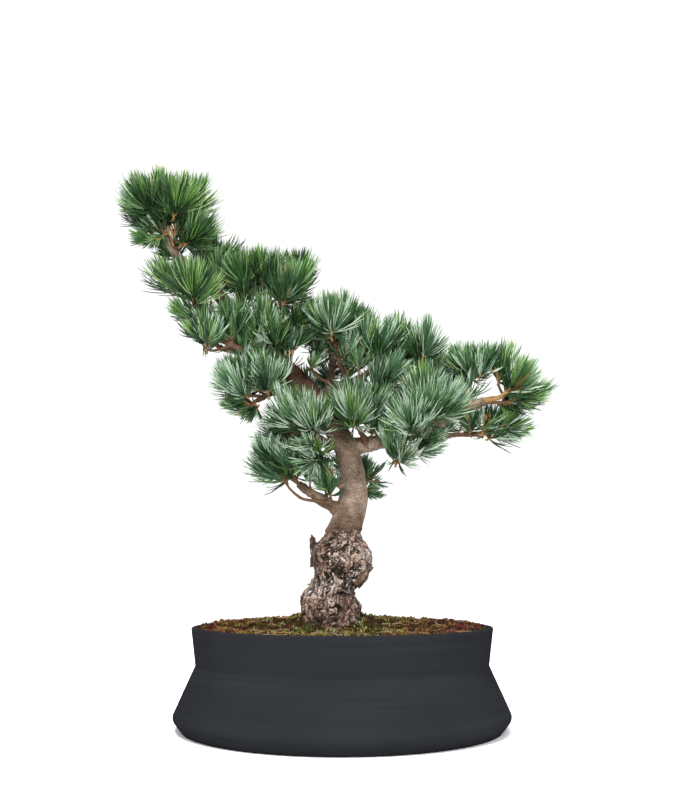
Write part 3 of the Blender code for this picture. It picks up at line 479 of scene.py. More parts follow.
def tube_faces(rings, sides):
    """Triangles between neighbouring rings of corners."""
    ring = np.arange(rings - 1)[:, None] * sides
    here = np.arange(sides)[None, :]
    after = (here + 1) % sides
    a, b = ring + here, ring + after
    c, d = a + sides, b + sides
    lower = np.stack([a, b, d], axis=-1).reshape(-1, 3)
    upper = np.stack([a, d, c], axis=-1).reshape(-1, 3)
    return np.concatenate([lower, upper])


def closed_tube_faces(rings, sides):
    """Triangles of a tube that ends in a tip, the corner after its last ring."""
    last = (rings - 1) * sides
    here = last + np.arange(sides)
    after = last + (np.arange(sides) + 1) % sides
    cap = np.stack([here, after, np.full(sides, rings * sides)], axis=-1)
    return np.concatenate([tube_faces(rings, sides), cap])


def outwards(side, back, turn):
    return side * math.cos(turn) + back * math.sin(turn)


def frames_along(points):
    """Directions along a line of points, with two directions across that turn as little as can be."""
    ways = unit(np.gradient(points, axis=0))
    start = np.cross(ways[0], (0.3, 0.2, 0.9))
    side = start / np.linalg.norm(start)
    sides = []
    for way in ways:
        side = side - way * side.dot(way)
        side = side / np.linalg.norm(side)
        sides.append(side)
    sides = np.array(sides)
    return ways, sides, np.cross(ways, sides)


def add_tube(pile, points, radii, sides, slot, rough=0.0, seed=0):
    """A tube with a pointed end and an open root, its radius a little uneven."""
    points = np.asarray(points, float)
    radii = np.asarray(radii, float)
    ways, across, over = frames_along(points)
    turns = 2 * np.pi * np.arange(sides) / sides
    rng = np.random.default_rng(seed)
    uneven = 1 + rough * rng.uniform(-1, 1, (len(points), sides))
    reach = (radii[:, None] * uneven)[..., None]
    ring = across[:, None] * np.cos(turns)[None, :, None] + over[:, None] * np.sin(turns)[None, :, None]
    corners = (points[:, None] + ring * reach).reshape(-1, 3)
    tip = points[-1] + ways[-1] * radii[-1]
    pile.add(np.concatenate([corners, tip[None]]), closed_tube_faces(len(points), sides), slot)


# The tree's rule

def smooth_route(points, steps):
    """A Catmull-Rom curve through the points, with steps places from each point to the next."""
    line = [Vector(p) for p in points]
    places = []
    for k in range(len(line) - 1):
        here, there = line[k], line[k + 1]
        before = line[k - 1] if k else here * 2 - there
        after = line[k + 2] if k + 2 < len(line) else there * 2 - here
        for step in range(steps):
            t = step / steps
            bend = (before * 2 - here * 5 + there * 4 - after) * t ** 2
            twist = (here * 3 - before - there * 3 + after) * t ** 3
            places.append((here * 2 + (there - before) * t + bend + twist) * 0.5)
    places.append(line[-1])
    return places


def stretch_lengths(places):
    return [(b - a).length for a, b in zip(places, places[1:])]


def point_at(route, share):
    """Place, radius and direction at a share of a route's length."""
    lengths = stretch_lengths([place for place, _ in route])
    left = share * sum(lengths)
    for k, length in enumerate(lengths):
        if left <= length or k == len(lengths) - 1:
            t = min(left / length, 1)
            place = route[k][0].lerp(route[k + 1][0], t)
            radius = route[k][1] + (route[k + 1][1] - route[k][1]) * t
            return place, radius, (route[k + 1][0] - route[k][0]).normalized()
        left -= length


def all_routes():
    """The line and radii of the trunk and of every limb."""
    stations = smooth_route(TRUNK_STATIONS, ROUTE_STEPS)
    routes = {"trunk": [(Vector(p[:3]), p[3]) for p in stations]}
    for name, (parent, share, root_radius, tip_radius, via) in LIMBS.items():
        start = point_at(routes[parent], share)[0]
        points = [start] + [Vector(p) for p in via]
        length = sum(stretch_lengths(points))
        places = smooth_route(points, max(2, round(length / LIMB_SPACING / len(via))))
        last = len(places) - 1
        routes[name] = [(p, root_radius + (tip_radius - root_radius) * k / last)
                        for k, p in enumerate(places)]
    return routes


def frame_round(along):
    side = along.orthogonal().normalized()
    return side, along.cross(side)


def stem_foot(routes, carrier, share, heart):
    place, radius, along = point_at(routes[carrier], share)
    if share == 1:
        return place + along * CLEAR, along
    away = heart - place
    away = (away - along * away.dot(along)).normalized()
    return place + away * (radius + CLEAR), away


def shoot_places(dice, heart, aim, count, spread):
    """Foot and direction of each shoot: one at the heart, the others on a spiral round the aim."""
    side, back = frame_round(aim)
    phase = dice.uniform(0, math.tau)
    shoots = [(heart, aim)]
    for k in range(1, count):
        turn = phase + k * SHOOT_TURN
        out = outwards(side, back, turn)
        rise = dice.uniform(*SHOOT_RISE)
        foot = heart + (out * dice.uniform(*SHOOT_REACH) + aim * rise) * spread
        shoots.append((foot, (aim + out * SHOOT_SPREAD).normalized()))
    return shoots


def mass_sites(entry):
    """Places that claim the space round a mass."""
    sites = [entry["foot"], (entry["foot"] + entry["heart"]) / 2]
    for foot, along in entry["shoots"]:
        sites.append((foot + entry["heart"]) / 2)
        sites.append(foot)
        sites.append(foot + along * SHOOT_LENGTH)
    return sites


def plan_masses(routes):
    plan = {}
    for k, (name, (carrier, share, heart, aim, count, spread)) in enumerate(MASSES.items()):
        heart = Vector(heart)
        shoots = shoot_places(random.Random(SEED + k), heart, Vector(aim).normalized(), count, spread)
        foot, leave = stem_foot(routes, carrier, share, heart)
        plan[name] = {"seed": SEED + k, "foot": foot, "leave": leave, "heart": heart, "shoots": shoots}
    return plan


def limb_rods(routes):
    """Starts, ends and radii of every straight stretch of the trunk and limbs."""
    rods = [(a[0], b[0], a[1]) for route in routes.values() for a, b in zip(route, route[1:])]
    starts = np.array([entry[0] for entry in rods])
    ends = np.array([entry[1] for entry in rods])
    return starts, ends, np.array([entry[2] for entry in rods])


def rods_near(rods, place, reach):
    starts, ends, radii = rods
    middle = (starts + ends) / 2
    half = np.linalg.norm(ends - starts, axis=1) / 2
    close = np.linalg.norm(middle - place, axis=1) < reach + half + radii
    return starts[close], ends[close], radii[close]


def inside_space(own, others, places, margin):
    """Which places are on this mass's side of the border with every other mass."""
    to_own = ((places[:, None] - own[None]) ** 2).sum(-1)
    nearest = to_own.argmin(1)
    own_square = to_own[np.arange(len(places)), nearest]
    to_others = ((places[:, None] - others[None]) ** 2).sum(-1)
    apart = np.linalg.norm(others[None] - own[nearest][:, None], axis=-1)
    return ((to_others - own_square[:, None]) / (2 * apart) >= margin).all(1)


def clear_of_limbs(rods, places, margin):
    starts, ends, radii = rods
    if not len(starts):
        return np.ones(len(places), bool)
    along = ends - starts
    t = ((places[:, None] - starts[None]) * along[None]).sum(-1) / (along ** 2).sum(-1)[None]
    foot = starts[None] + along[None] * np.clip(t, 0, 1)[..., None]
    return (np.linalg.norm(places[:, None] - foot, axis=-1) > radii[None] + margin).all(1)


# Trunk and limbs with the bark's relief

def smooth_step(low, high, value):
    t = min(max((value - low) / (high - low), 0), 1)
    return t * t * (3 - 2 * t)


def chance(place):
    """A number from 0 to 1 that goes with a place and looks random."""
    return math.modf(abs(math.sin(place.x * 12.99 + place.y * 78.23 + place.z * 37.72)) * 4375.85)[0]


def stock_radius(height, angle, radius):
    ground = TRUNK_STATIONS[0][2]
    lobe = ROOT_LOBE_DEPTH * math.exp(-(height - ground) / ROOT_LOBE_FADE)
    grown = radius * (1 + lobe * math.cos(ROOT_LOBES * angle + ROOT_LOBE_TURN))
    for burl_height, bearing, reach, rise in BURLS:
        turn = math.remainder(angle - math.radians(bearing), math.tau) * radius
        away = math.hypot(turn, height - burl_height)
        grown += rise * math.exp(-(away / reach) ** 2)
    return grown


def plated(place):
    """Relief of old plated bark at a place: height, the painted shade that darkens its cracks, furrows and
    layer steps, and the tint of the plates there.
    """
    wander = noise.noise_vector(place / WANDER_SIZE) * PLATE_WARP
    wander += noise.noise_vector(place / FINE_WANDER) * FINE_WARP
    spot = Vector((place.x, place.y, place.z * PLATE_STRETCH)) / PLATE_SIZE + wander
    distances, cells = noise.voronoi(spot)
    open_here = smooth_step(-0.35, 0.45, noise.noise(place / OPEN_SIZE + Vector((5, 1, 7))))
    plate_and_crack_shade = smooth_step(0.0, 0.05 + 0.26 * open_here ** 2, distances[1] - distances[0])
    tint = chance(cells[0])
    tilt = (spot - cells[0]).dot(Vector([chance(cells[0] * axis) - 0.5 for axis in PLATE_TILTS]))
    layer = (noise.fractal(spot * 1.5, 1.0, 2.1, 4) + 0.6) * LAYERS
    rest = layer - math.floor(layer)
    step = math.floor(layer) + smooth_step(0.55, 1.0, rest)
    edge = smooth_step(0.45, 0.62, rest) * smooth_step(1.0, 0.8, rest)
    grain = noise.fractal(Vector((place.x, place.y, place.z * 0.5)) / GRAIN_SIZE, 1.0, 2.0, 3)
    wide, tall = FURROW_SIZE
    furrow_spot = Vector((place.x / wide, place.y / wide, place.z / tall)) + wander * 0.35
    furrow = smooth_step(0.0, 0.20, abs(noise.noise(furrow_spot)))
    height = (plate_and_crack_shade - 1) * CRACK_DEPTH * (0.25 + 0.75 * open_here)
    height += (tint - 0.5 + tilt * 1.5) * PLATE_STEP * plate_and_crack_shade
    height += step * LAYER_DEPTH + grain * GRAIN_DEPTH + noise.noise(place / LUMP_SIZE) * LUMP_DEPTH
    height += (furrow - 1) * FURROW_DEPTH
    # Painted shade: darker in the cracks, in the furrows and on the steps between flaking layers.
    shade = plate_and_crack_shade * (1 - 0.55 * edge) * (0.35 + 0.65 * furrow)
    return height, shade, (0.6 * tint + 0.22 * step + 0.15 * grain) % 1.0


def smoothed(place, radius):
    """Relief of young bark: low bumps and fine rings round the stem."""
    lumps = noise.fractal(place / YOUNG_LUMP_SIZE, 1.0, 2.0, 2)
    rings = noise.noise(Vector((place.x, place.y, place.z * YOUNG_RING_STRETCH)) / YOUNG_RING_SIZE)
    return (lumps * 1.1 + rings * 0.5) * SMOOTH_RELIEF * min(1, radius / YOUNG_RADIUS)


def trunk_rings():
    """Places and radii close together along the trunk, closest on the old stock."""
    route = [(Vector(p[:3]), p[3]) for p in smooth_route(TRUNK_STATIONS, 12)]
    rings = []
    for (here, radius), (there, radius_after) in zip(route, route[1:]):
        size = STOCK_RING if here.z < STOCK_TOP + STOCK_MARGIN else BARK_RING
        steps = max(1, round((there - here).length / size))
        for k in range(steps):
            t = k / steps
            rings.append((here.lerp(there, t), radius + (radius_after - radius) * t))
    rings.append(route[-1])
    return rings


def trunk_part(rings, sides):
    """Corners, faces and the bark's values for a stretch of the trunk."""
    corners, plates, tints, stock = [], [], [], []
    for k, (place, radius) in enumerate(rings):
        along = (rings[min(k + 3, len(rings) - 1)][0] - rings[max(k - 3, 0)][0]).normalized()
        side = Vector((0, 1, 0)).cross(along).normalized()
        back = along.cross(side)
        for j in range(sides):
            angle = math.tau * j / sides
            out = outwards(side, back, angle)
            base = place + out * stock_radius(place.z, angle, radius)
            edge = STOCK_TOP + GRAFT_WANDER * noise.noise(base / GRAFT_WANDER_SIZE)
            old = 1 - smooth_step(edge - STOCK_BLEND, edge + STOCK_BLEND, base.z)
            height, plate_and_crack_shade, tint = plated(base) if old > 0 else (0, 1, 0.5)
            lift = old * (height - STOCK_INSET) + (1 - old) * smoothed(base, radius)
            corners.append(base + out * lift)
            # The old stock keeps the painted shade of its cracks and furrows; young bark gets none.
            plates.append(1 - old * (1 - plate_and_crack_shade))
            tints.append(tint)
            stock.append(old)
    return np.array(corners), tube_faces(len(rings), sides), (plates, tints, stock)


def make_trunk(materials):
    """The trunk in one mesh, with finer faces on the old stock, and its splinters."""
    rings = trunk_rings()
    seam = next(k for k, (place, _) in enumerate(rings) if place.z > STOCK_TOP + 2 * STOCK_BLEND)
    low, low_faces, low_values = trunk_part(rings[:seam + 1], STOCK_SIDES)
    high, high_faces, high_values = trunk_part(rings[seam:], BARK_SIDES)
    corners, faces = [low, high], [low_faces, high_faces + len(low)]
    values = [below + above for below, above in zip(low_values, high_values)]
    count = len(low) + len(high)
    for entry in SPLINTERS:
        more, more_faces, more_values = splinter(*entry)
        corners.append(more)
        faces.append(more_faces + count)
        count += len(more)
        values = [old + new for old, new in zip(values, more_values)]
    made = mesh_object("trunk_bark", np.concatenate(corners), np.concatenate(faces), materials, True)
    # The first of these values is the painted shade of the cracks and furrows.
    for name, numbers in zip(("plate_and_crack_shade", "tint", "stock"), values):
        set_attribute(made, name, numbers)
    heights = np.concatenate(corners)[:, 2]
    # Painted shade on the trunk inside the crown, less near its tip.
    dark = np.clip((heights - CROWN_SHADE_FOOT) / CROWN_SHADE_FADE, 0, 1)
    set_attribute(made, "crown", dark * np.clip((CROWN_SHADE_TOP - heights) / CROWN_SHADE_FADE, 0.1, 1))
    set_attribute(made, "foot", np.clip((STOCK_FOOT - heights) / STOCK_FOOT_FADE, 0, 1))
    set_attribute(made, "graft", np.clip(1 - (heights - STOCK_TOP) / GRAFT_FADE, 0, 1))
    return made


def splinter(foot, tip, foot_radius, tip_radius, flatness):
    """A jagged piece of dead wood or torn bark, with the same values as the bark round it."""
    points = np.linspace(foot, tip, SPLINTER_RINGS)
    radii = np.linspace(foot_radius, tip_radius, SPLINTER_RINGS)
    way = unit(points[-1] - points[0])
    across = unit(np.cross(way, (0, 1, 0)))
    over = np.cross(way, across)
    corners, plates, tints = [], [], []
    for point, radius in zip(points, radii):
        for k in range(SPLINTER_SIDES):
            turn = math.tau * k / SPLINTER_SIDES
            base = Vector(point + (across * math.cos(turn) * flatness + over * math.sin(turn)) * radius)
            ridge = noise.fractal(Vector((base.x, base.y, base.z * 0.4)) / RIDGE_SIZE, 1.0, 2.0, 3)
            out = (base - Vector(point)).normalized()
            corners.append(base + out * ridge * RIDGE_DEPTH * radius)
            # Painted shade: the grooves between the ridges are darker.
            plates.append(min(1, max(0, 0.55 + ridge)))
            tints.append(0.10 + 0.60 * abs(ridge))
    corners.append(Vector(points[-1]) + Vector(way) * tip_radius)
    faces = closed_tube_faces(SPLINTER_RINGS, SPLINTER_SIDES)
    return np.array(corners), faces, (plates + [1.0], tints + [0.3], [1.0] * len(corners))


def make_limbs(routes, materials):
    """All limbs in one mesh, each thicker where it leaves its parent."""
    pile = Pile()
    ages = []
    for k, name in enumerate(LIMBS):
        parent, share, root_radius, tip_radius, via = LIMBS[name]
        start, parent_radius, _ = point_at(routes[parent], share)
        dense = smooth_route([start] + [Vector(p) for p in via], 10)
        points, radii = resampled(dense, root_radius, tip_radius)
        lengths = np.linalg.norm(points - np.array(start), axis=1)
        out = np.clip((lengths - parent_radius * 0.8) / (COLLAR_REACH * root_radius), 0, 1)
        radii = radii * (1 + COLLAR_FLARE * (1 - out) ** 2)
        corners, faces = limb_skin(points, radii, k)
        pile.add(corners, faces, 0)
        ages.append(np.full(len(corners), min(1, tip_radius / TAN_LIMB)))
    made = pile.make("limb_bark", materials, True)
    set_attribute(made, "age", np.concatenate(ages))
    return made


def resampled(places, root_radius, tip_radius):
    """Evenly spaced places on a route, each with its radius."""
    line = np.array(places)
    reach = np.concatenate([[0], np.cumsum(np.linalg.norm(np.diff(line, axis=0), axis=1))])
    count = max(4, round(reach[-1] / LIMB_RING))
    at = np.linspace(0, reach[-1], count)
    points = np.stack([np.interp(at, reach, line[:, k]) for k in range(3)], axis=-1)
    return points, root_radius + (tip_radius - root_radius) * at / reach[-1]


def limb_skin(points, radii, seed):
    """A tube with knots and small ridges, and a rounded end."""
    ways, across, over = frames_along(points)
    corners = []
    for k in range(len(points)):
        for j in range(LIMB_SIDES):
            turn = math.tau * j / LIMB_SIDES
            out = outwards(across[k], over[k], turn)
            base = Vector(points[k] + out * radii[k])
            lumps = noise.fractal(base / LIMB_LUMPS[0], 1.0, 2.0, 3)
            knots = max(0, noise.noise(base / LIMB_KNOTS[0] + Vector((seed, 0, 0))) - KNOT_START)
            swell = noise.noise(base / LIMB_SWELL[0] + Vector((0, seed, 0)))
            relief = lumps * LIMB_LUMPS[1] + knots * LIMB_KNOTS[1] + swell * LIMB_SWELL[1]
            corners.append(np.array(base) + out * relief * min(radii[k], RELIEF_RADIUS))
    corners.append(points[-1] + ways[-1] * radii[-1] * 0.6)
    return np.array(corners), closed_tube_faces(len(points), LIMB_SIDES)


# Twigs and needles

def curve_between(start, leave, end, arrive, count):
    """A bent line from start to end that leaves and arrives in the ways given."""
    start, end = np.array(start), np.array(end)
    reach = np.linalg.norm(end - start) * 0.4
    a, b = start + np.array(leave) * reach, end - np.array(arrive) * reach
    t = np.linspace(0, 1, count)[:, None]
    return start * (1 - t) ** 3 + a * 3 * t * (1 - t) ** 2 + b * 3 * t ** 2 * (1 - t) + end * t ** 3


def sprig_places(rng, foot, along):
    """Foot, direction and length of each sprig that a shoot branches into."""
    side, back = frame_round(along)
    leader = (along + Vector((0, 0, LEADER_LIFT))).normalized()
    length = SHOOT_LENGTH * rng.uniform(*LEADER_LENGTH)
    sprigs = [(foot + along * LEADER_START, leader, length, LEADER_FASCICLES)]
    phase = rng.uniform(0, math.tau)
    for k in range(int(rng.integers(SPRIGS[0], SPRIGS[1] + 1))):
        turn = phase + k * GOLDEN_ANGLE
        out = outwards(side, back, turn)
        lean = math.radians(rng.uniform(*SPRIG_LEAN))
        way = (along * math.cos(lean) + out * math.sin(lean)).normalized()
        way = (way + Vector((0, 0, SPRIG_LIFT))).normalized()
        place = foot + along * rng.uniform(*SPRIG_PLACES)
        sprigs.append((place, way, rng.uniform(*SPRIG_LENGTH), FASCICLES))
    return sprigs


def sprig_needles(rng, foot, way, length, fascicles):
    """Roots, ways, bends, outer directions and lengths of a sprig's needles."""
    along = np.array(way)
    side, back = (np.array(v) for v in frame_round(way))
    k = np.arange(fascicles)
    share = (k + 0.5) / fascicles
    turn = rng.uniform(0, 2 * np.pi) + k * GOLDEN_ANGLE
    out = side * np.cos(turn)[:, None] + back * np.sin(turn)[:, None]
    swing = np.radians(LOW_SWING + (HIGH_SWING - LOW_SWING) * share ** 0.75
                       + rng.normal(0, SWING_WANDER, fascicles))
    middle = along * np.cos(swing)[:, None] + out * np.sin(swing)[:, None]
    root = np.array(foot) + along * (length * (SPRIG_BARE + (1 - SPRIG_BARE) * share))[:, None]
    root = root + out * SPRIG_RADIUS * 0.6
    across = unit(np.cross(middle, out + along * 0.01))
    over = np.cross(middle, across)
    j = np.arange(NEEDLES_IN_FASCICLE)
    fan = 2 * np.pi * j[None] / NEEDLES_IN_FASCICLE + rng.uniform(0, FAN_START, (fascicles, 1))
    spread = np.tan(np.radians(FASCICLE_SPREAD)) * rng.uniform(*FASCICLE_WANDER, fan.shape)
    ways = unit(middle[:, None] + (across[:, None] * np.cos(fan)[..., None]
                                   + over[:, None] * np.sin(fan)[..., None]) * spread[..., None])
    lean = along[None, None] * BEND_ALONG + np.array((0, 0, BEND_UP)) - ways * BEND_BACK
    lean = lean - ways * (lean * ways).sum(-1, keepdims=True)
    bends = lean * NEEDLE_BEND * rng.uniform(*BEND_WANDER, fan.shape)[..., None]
    droop = DROOP_CUT * np.clip(-ways[..., 2], 0, 1)
    lengths = NEEDLE_LENGTH * rng.uniform(NEEDLE_SHORTEST, 1, fan.shape) * (1 - droop)
    roots = np.broadcast_to(root[:, None], ways.shape)
    outer = np.broadcast_to(out[:, None], ways.shape)
    return *(rows.reshape(-1, 3) for rows in (roots, ways, bends, outer)), lengths.ravel()


def bundle_tints(rng, place, fascicles):
    """A tint for every needle: deep green at the sprig's foot as painted shade, then its own tint with a
    few others.
    """
    own = choose_tint(rng, place)
    tints = np.full(fascicles, 1 if own == len(TINTS) - 1 else own)
    odd = rng.uniform(size=fascicles) < ODD_BUNDLES
    tints[odd] = [choose_tint(rng, place) for _ in range(odd.sum())]
    # Painted shade: the bundles at the sprig's foot, inside the spray, get the deep green tint.
    tints[:round(SHADED_FOOT_NEEDLES * fascicles)] = 0
    return np.repeat(tints, NEEDLES_IN_FASCICLE)


def needle_points(roots, ways, bends, lengths, share):
    """Where needles are at a share of their length."""
    straight = ways * (lengths * share)[:, None]
    return roots + straight + bends * (lengths * share ** 2)[:, None]


def kept_within_reach(foot, along, roots, ways, bends, lengths):
    """Lengths cut back so that no needle reaches further than the shoot's own needles do."""
    tips = needle_points(roots, ways, bends, lengths, 1)
    away = tips - np.array(foot)
    far = np.linalg.norm(away, axis=1)
    forward = (away @ np.array(along)) / far
    reach = NEEDLE_LENGTH + REACH_START + (SHOOT_LENGTH - REACH_START) * np.clip(forward, 0, 1)
    return np.where(far > reach, lengths * np.clip(reach / far, SHORTEST_CUT, 1), lengths)


def add_needles(pile, rng, needles, tint):
    """Three-sided needles, their outer side in one colour and the two inner ones in another."""
    roots, ways, bends, outer, lengths = needles
    count = len(roots)
    face = unit(outer - ways * (outer * ways).sum(1, keepdims=True) + 1e-6)
    roll = rng.uniform(-NEEDLE_ROLL, NEEDLE_ROLL, count)[:, None]
    across = np.cross(ways, face)
    face, across = face * np.cos(roll) + across * np.sin(roll), across * np.cos(roll) - face * np.sin(roll)
    rings = []
    for share, width in NEEDLE_RINGS:
        middle = needle_points(roots, ways, bends, lengths, share)
        for turn in (-60, 60, 180):
            turn = math.radians(turn)
            rings.append(middle + (face * math.cos(turn) + across * math.sin(turn)) * NEEDLE_RADIUS * width)
    rings.append(needle_points(roots, ways, bends, lengths, 1.0))
    corners = np.stack(rings, axis=1).reshape(-1, 3)
    size = 3 * len(NEEDLE_RINGS) + 1
    faces, slots = needle_faces(tint)
    all_faces = (np.arange(count)[:, None, None] * size + faces[None]).reshape(-1, 3)
    pile.add(corners, all_faces, np.tile(slots, count))


def needle_faces(tint):
    """A needle's faces, and the material of each."""
    faces, slots = [], []
    rings = len(NEEDLE_RINGS)
    for ring in range(rings - 1):
        for k in range(3):
            a, b = 3 * ring + k, 3 * ring + (k + 1) % 3
            faces += [(a, b, b + 3), (a, b + 3, a + 3)]
            slots += [2 * tint + (k > 0)] * 2
    for k in range(3):
        a, b = 3 * (rings - 1) + k, 3 * (rings - 1) + (k + 1) % 3
        faces.append((a, b, 3 * rings))
        slots.append(2 * tint + (k > 0))
    return np.array(faces), np.array(slots)


def choose_tint(rng, place):
    """Bright at the top of the tree and at its right, bluer lower down."""
    names = list(TINTS)
    high = smooth_step(*HIGH_PART, place.z)
    right = smooth_step(*RIGHT_PART, place.x)
    chances = {
        "deep": 0.05 + 0.38 * high,
        "green": 0.30 + 0.34 * high,
        "blue": 0.42 * (1 - 0.85 * high),
        "pale": 0.21 * (1 - 0.95 * high),
        "bright": 0.07 + 0.20 * high + 0.30 * right,
        "dead": 0.004,
    }
    weights = np.array([chances[name] for name in names])
    return int(rng.choice(len(names), p=weights / weights.sum()))


def kept_needles(needles, rods, space=None):
    """Which needles stay off the limbs, out of the open places and in the mass's own space."""
    roots, ways, bends, _, lengths = needles
    keep = np.ones(len(roots), bool)
    for share in NEEDLE_CHECKS:
        points = needle_points(roots, ways, bends, lengths, share)
        keep &= clear_of_limbs(rods, points, NEEDLE_CLEAR) & ~in_sky_gap(points)
        if space:
            keep &= inside_space(*space, points, -NEEDLE_OVERLAP)
    return keep


def add_shoot_twig(twigs, entry, number, space, rods):
    """The twig from a mass's heart to one of its shoots, unless something is in its way."""
    heart, aim = entry["shoots"][0]
    place, along = entry["shoots"][number]
    line = np.array([heart.lerp(place, k / NEEDLE_TESTS) for k in range(1, NEEDLE_TESTS + 1)])
    close = rods_near(rods, np.array(place), NEEDLE_LENGTH + SHOOT_LENGTH)
    if not inside_space(*space, line, SPACE_MARGIN).all():
        return False
    if not clear_of_limbs(close, line, TWIG_RADIUS + CLEAR).all():
        return False
    way = (place - heart).normalized()
    twig = curve_between(heart - aim * TWIG_SINK, way, place, along, TWIG_RINGS)
    radii = np.linspace(TWIG_RADIUS, TWIG_RADIUS * TWIG_TAPER, TWIG_RINGS)
    add_tube(twigs, twig, radii, 6, 0, TWIG_UNEVEN, number)
    return True


def grow_mass(name, entry, space, rods, needles, twigs):
    """One mass: its stem, a twig to each shoot, and the shoots' sprigs with their needles."""
    rng = np.random.default_rng(entry["seed"])
    growth, size = STEM_GROWTH.get(name, 1), MASS_NEEDLES.get(name, 1)
    leave, heart = entry["leave"], entry["heart"]
    aim = entry["shoots"][0][1]
    stem = curve_between(entry["foot"] - leave * STEM_SINK, leave, heart, aim, STEM_RINGS)
    radii = np.linspace(STEM_RADIUS, TWIG_RADIUS, STEM_RINGS) * growth
    add_tube(twigs, stem, radii, 9, int(name in STEM_GROWTH), STEM_UNEVEN, entry["seed"])
    for number, (place, along) in enumerate(entry["shoots"]):
        if place != heart and not add_shoot_twig(twigs, entry, number, space, rods):
            continue
        close = rods_near(rods, np.array(place), NEAR)
        for sprig in sprig_places(rng, place, along):
            if ends_in_gap(sprig):
                continue
            add_sprig(twigs, rng, *sprig[:3])
            roots, ways, bends, outer, lengths = sprig_needles(rng, *sprig)
            lengths = kept_within_reach(place, along, roots, ways, bends, lengths) * size
            grown = (roots, ways, bends, outer, lengths)
            tints = bundle_tints(rng, place, sprig[3])
            add_chosen(needles, rng, grown, tints, kept_needles(grown, close, space))


def in_sky_gap(points):
    """Which points lie where sky shows through."""
    inside = np.zeros(len(points), bool)
    for *middle, radius in SKY_GAPS:
        away = (points - np.array(middle)) / (1, GAP_DEPTH, 1)
        inside |= (away ** 2).sum(axis=1) < radius ** 2
    return inside


def ends_in_gap(sprig):
    foot, way, length, _ = sprig
    return in_sky_gap(np.array([foot + way * length])).any()


def add_chosen(pile, rng, needles, tints, keep):
    """The kept needles, tint by tint."""
    for tint in np.unique(tints):
        chosen = keep & (tints == tint)
        if chosen.any():
            add_needles(pile, rng, [values[chosen] for values in needles], int(tint))


def limb_shoots(routes, rng):
    """Foot and direction of small shoots along the trunk's upper part and along the limbs."""
    shoots = []
    for name, route in routes.items():
        start, stop, apart = TRUNK_SHOOTS if name == "trunk" else LIMB_SHOOTS
        length = sum(stretch_lengths([place for place, _ in route]))
        count = round(length * (stop - start) / apart)
        for k in range(count):
            share = start + (stop - start) * (k + rng.uniform(0.2, 0.8)) / count
            place, radius, along = point_at(route, share)
            side, back = frame_round(along)
            turn = rng.uniform(0, math.tau)
            out = outwards(side, back, turn)
            out.z = abs(out.z) + LIMB_SHOOT_LIFT
            out = (out - along * out.dot(along)).normalized()
            way = (out + along * LIMB_SHOOT_LEAN).normalized()
            shoots.append((place + out * radius * LIMB_SHOOT_ROOT, way))
    return shoots


def new_seed(rng):
    return int(rng.integers(1 << 30))


def grow_limb_shoot(foot, way, rods, needles, twigs, rng):
    """A small shoot on a limb, with one sprig."""
    end = foot + way * LIMB_SHOOT_LENGTH
    line = np.linspace(foot, end, 4)
    add_tube(twigs, line, np.linspace(TWIG_RADIUS, SPRIG_RADIUS, 4), 6, 0, SHOOT_UNEVEN, new_seed(rng))
    way = (way + Vector((0, 0, LIMB_SPRIG_LIFT))).normalized()
    sprig = (end, way, rng.uniform(*SPRIG_LENGTH), LIMB_SHOOT_FASCICLES)
    grow_free_sprig(sprig, LIMB_SHOOT_NEEDLE, rods, needles, twigs, rng)


def grow_fill(routes, entry, rods, needles, twigs, rng):
    """A twig from a limb to a place between the masses, with a shoot's sprigs at its end."""
    carrier, share, tip, way, size = entry
    start = point_at(routes[carrier], share)[0]
    tip, way = Vector(tip), Vector(way).normalized()
    line = curve_between(start, (tip - start).normalized(), tip, way, FILL_RINGS)
    radii = np.linspace(TWIG_RADIUS * 1.2, TWIG_RADIUS * TWIG_TAPER, FILL_RINGS)
    add_tube(twigs, line, radii, 7, 0, SHOOT_UNEVEN, new_seed(rng))
    for sprig in sprig_places(rng, tip, way):
        if not ends_in_gap(sprig):
            grow_free_sprig(sprig, size, rods, needles, twigs, rng)


def grow_free_sprig(sprig, size, rods, needles, twigs, rng):
    """A sprig that belongs to no mass, kept off the limbs and out of the open places."""
    foot, way, length, fascicles = sprig
    add_sprig(twigs, rng, foot, way, length)
    *grown, lengths = sprig_needles(rng, *sprig)
    grown.append(lengths * size)
    close = rods_near(rods, np.array(foot), NEAR)
    tints = bundle_tints(rng, foot, fascicles)
    add_chosen(needles, rng, grown, tints, kept_needles(grown, close))


def add_sprig(twigs, rng, foot, way, length):
    """The sprig itself, with the bud or candle at its end."""
    start = np.array(foot) - np.array(way) * TWIG_SINK
    end = np.array(foot) + np.array(way) * length
    points = np.linspace(start, end, 5)
    seed = new_seed(rng)
    radii = np.linspace(SPRIG_RADIUS * 1.15, SPRIG_RADIUS, 5)
    add_tube(twigs, points, radii, 6, 1, SPRIG_UNEVEN, seed)
    candle = rng.uniform() < CANDLE_CHANCE
    bud = np.linspace(end, end + np.array(way) * (CANDLE_LENGTH if candle else BUD_LENGTH), 5)
    radii = np.array(BUD_SHAPE) * SPRIG_RADIUS
    add_tube(twigs, bud, radii, 6, 1 if candle else 2, BUD_UNEVEN, seed + 1)


# The piece that each mass's needles go into
NEEDLE_GROUPS = {
    "needles_low": ("mass_low_left", "mass_low_inner", "mass_low_back", "mass_left_centre",
                    "mass_left_front", "mass_under", "mass_fork"),
    "needles_left": ("mass_left_mid", "mass_left_high", "mass_left_up", "mass_left_tip",
                     "mass_crown_front", "mass_crown_left", "mass_back_left"),
    "needles_crown": ("mass_crown_back", "mass_crown_right", "mass_crown_low", "mass_apex_top",
                      "mass_apex_right", "mass_back_up"),
    "needles_centre": ("mass_centre_top", "mass_upper_right", "mass_right_top", "mass_mid",
                       "mass_back_mid"),
    "needles_right": ("mass_front", "mass_right_low", "mass_right_up", "mass_right_out",
                      "mass_back_right"),
}


def nearest_mass(sites, place):
    return min(sites, key=lambda name: np.linalg.norm(sites[name] - np.array(place), axis=1).min())


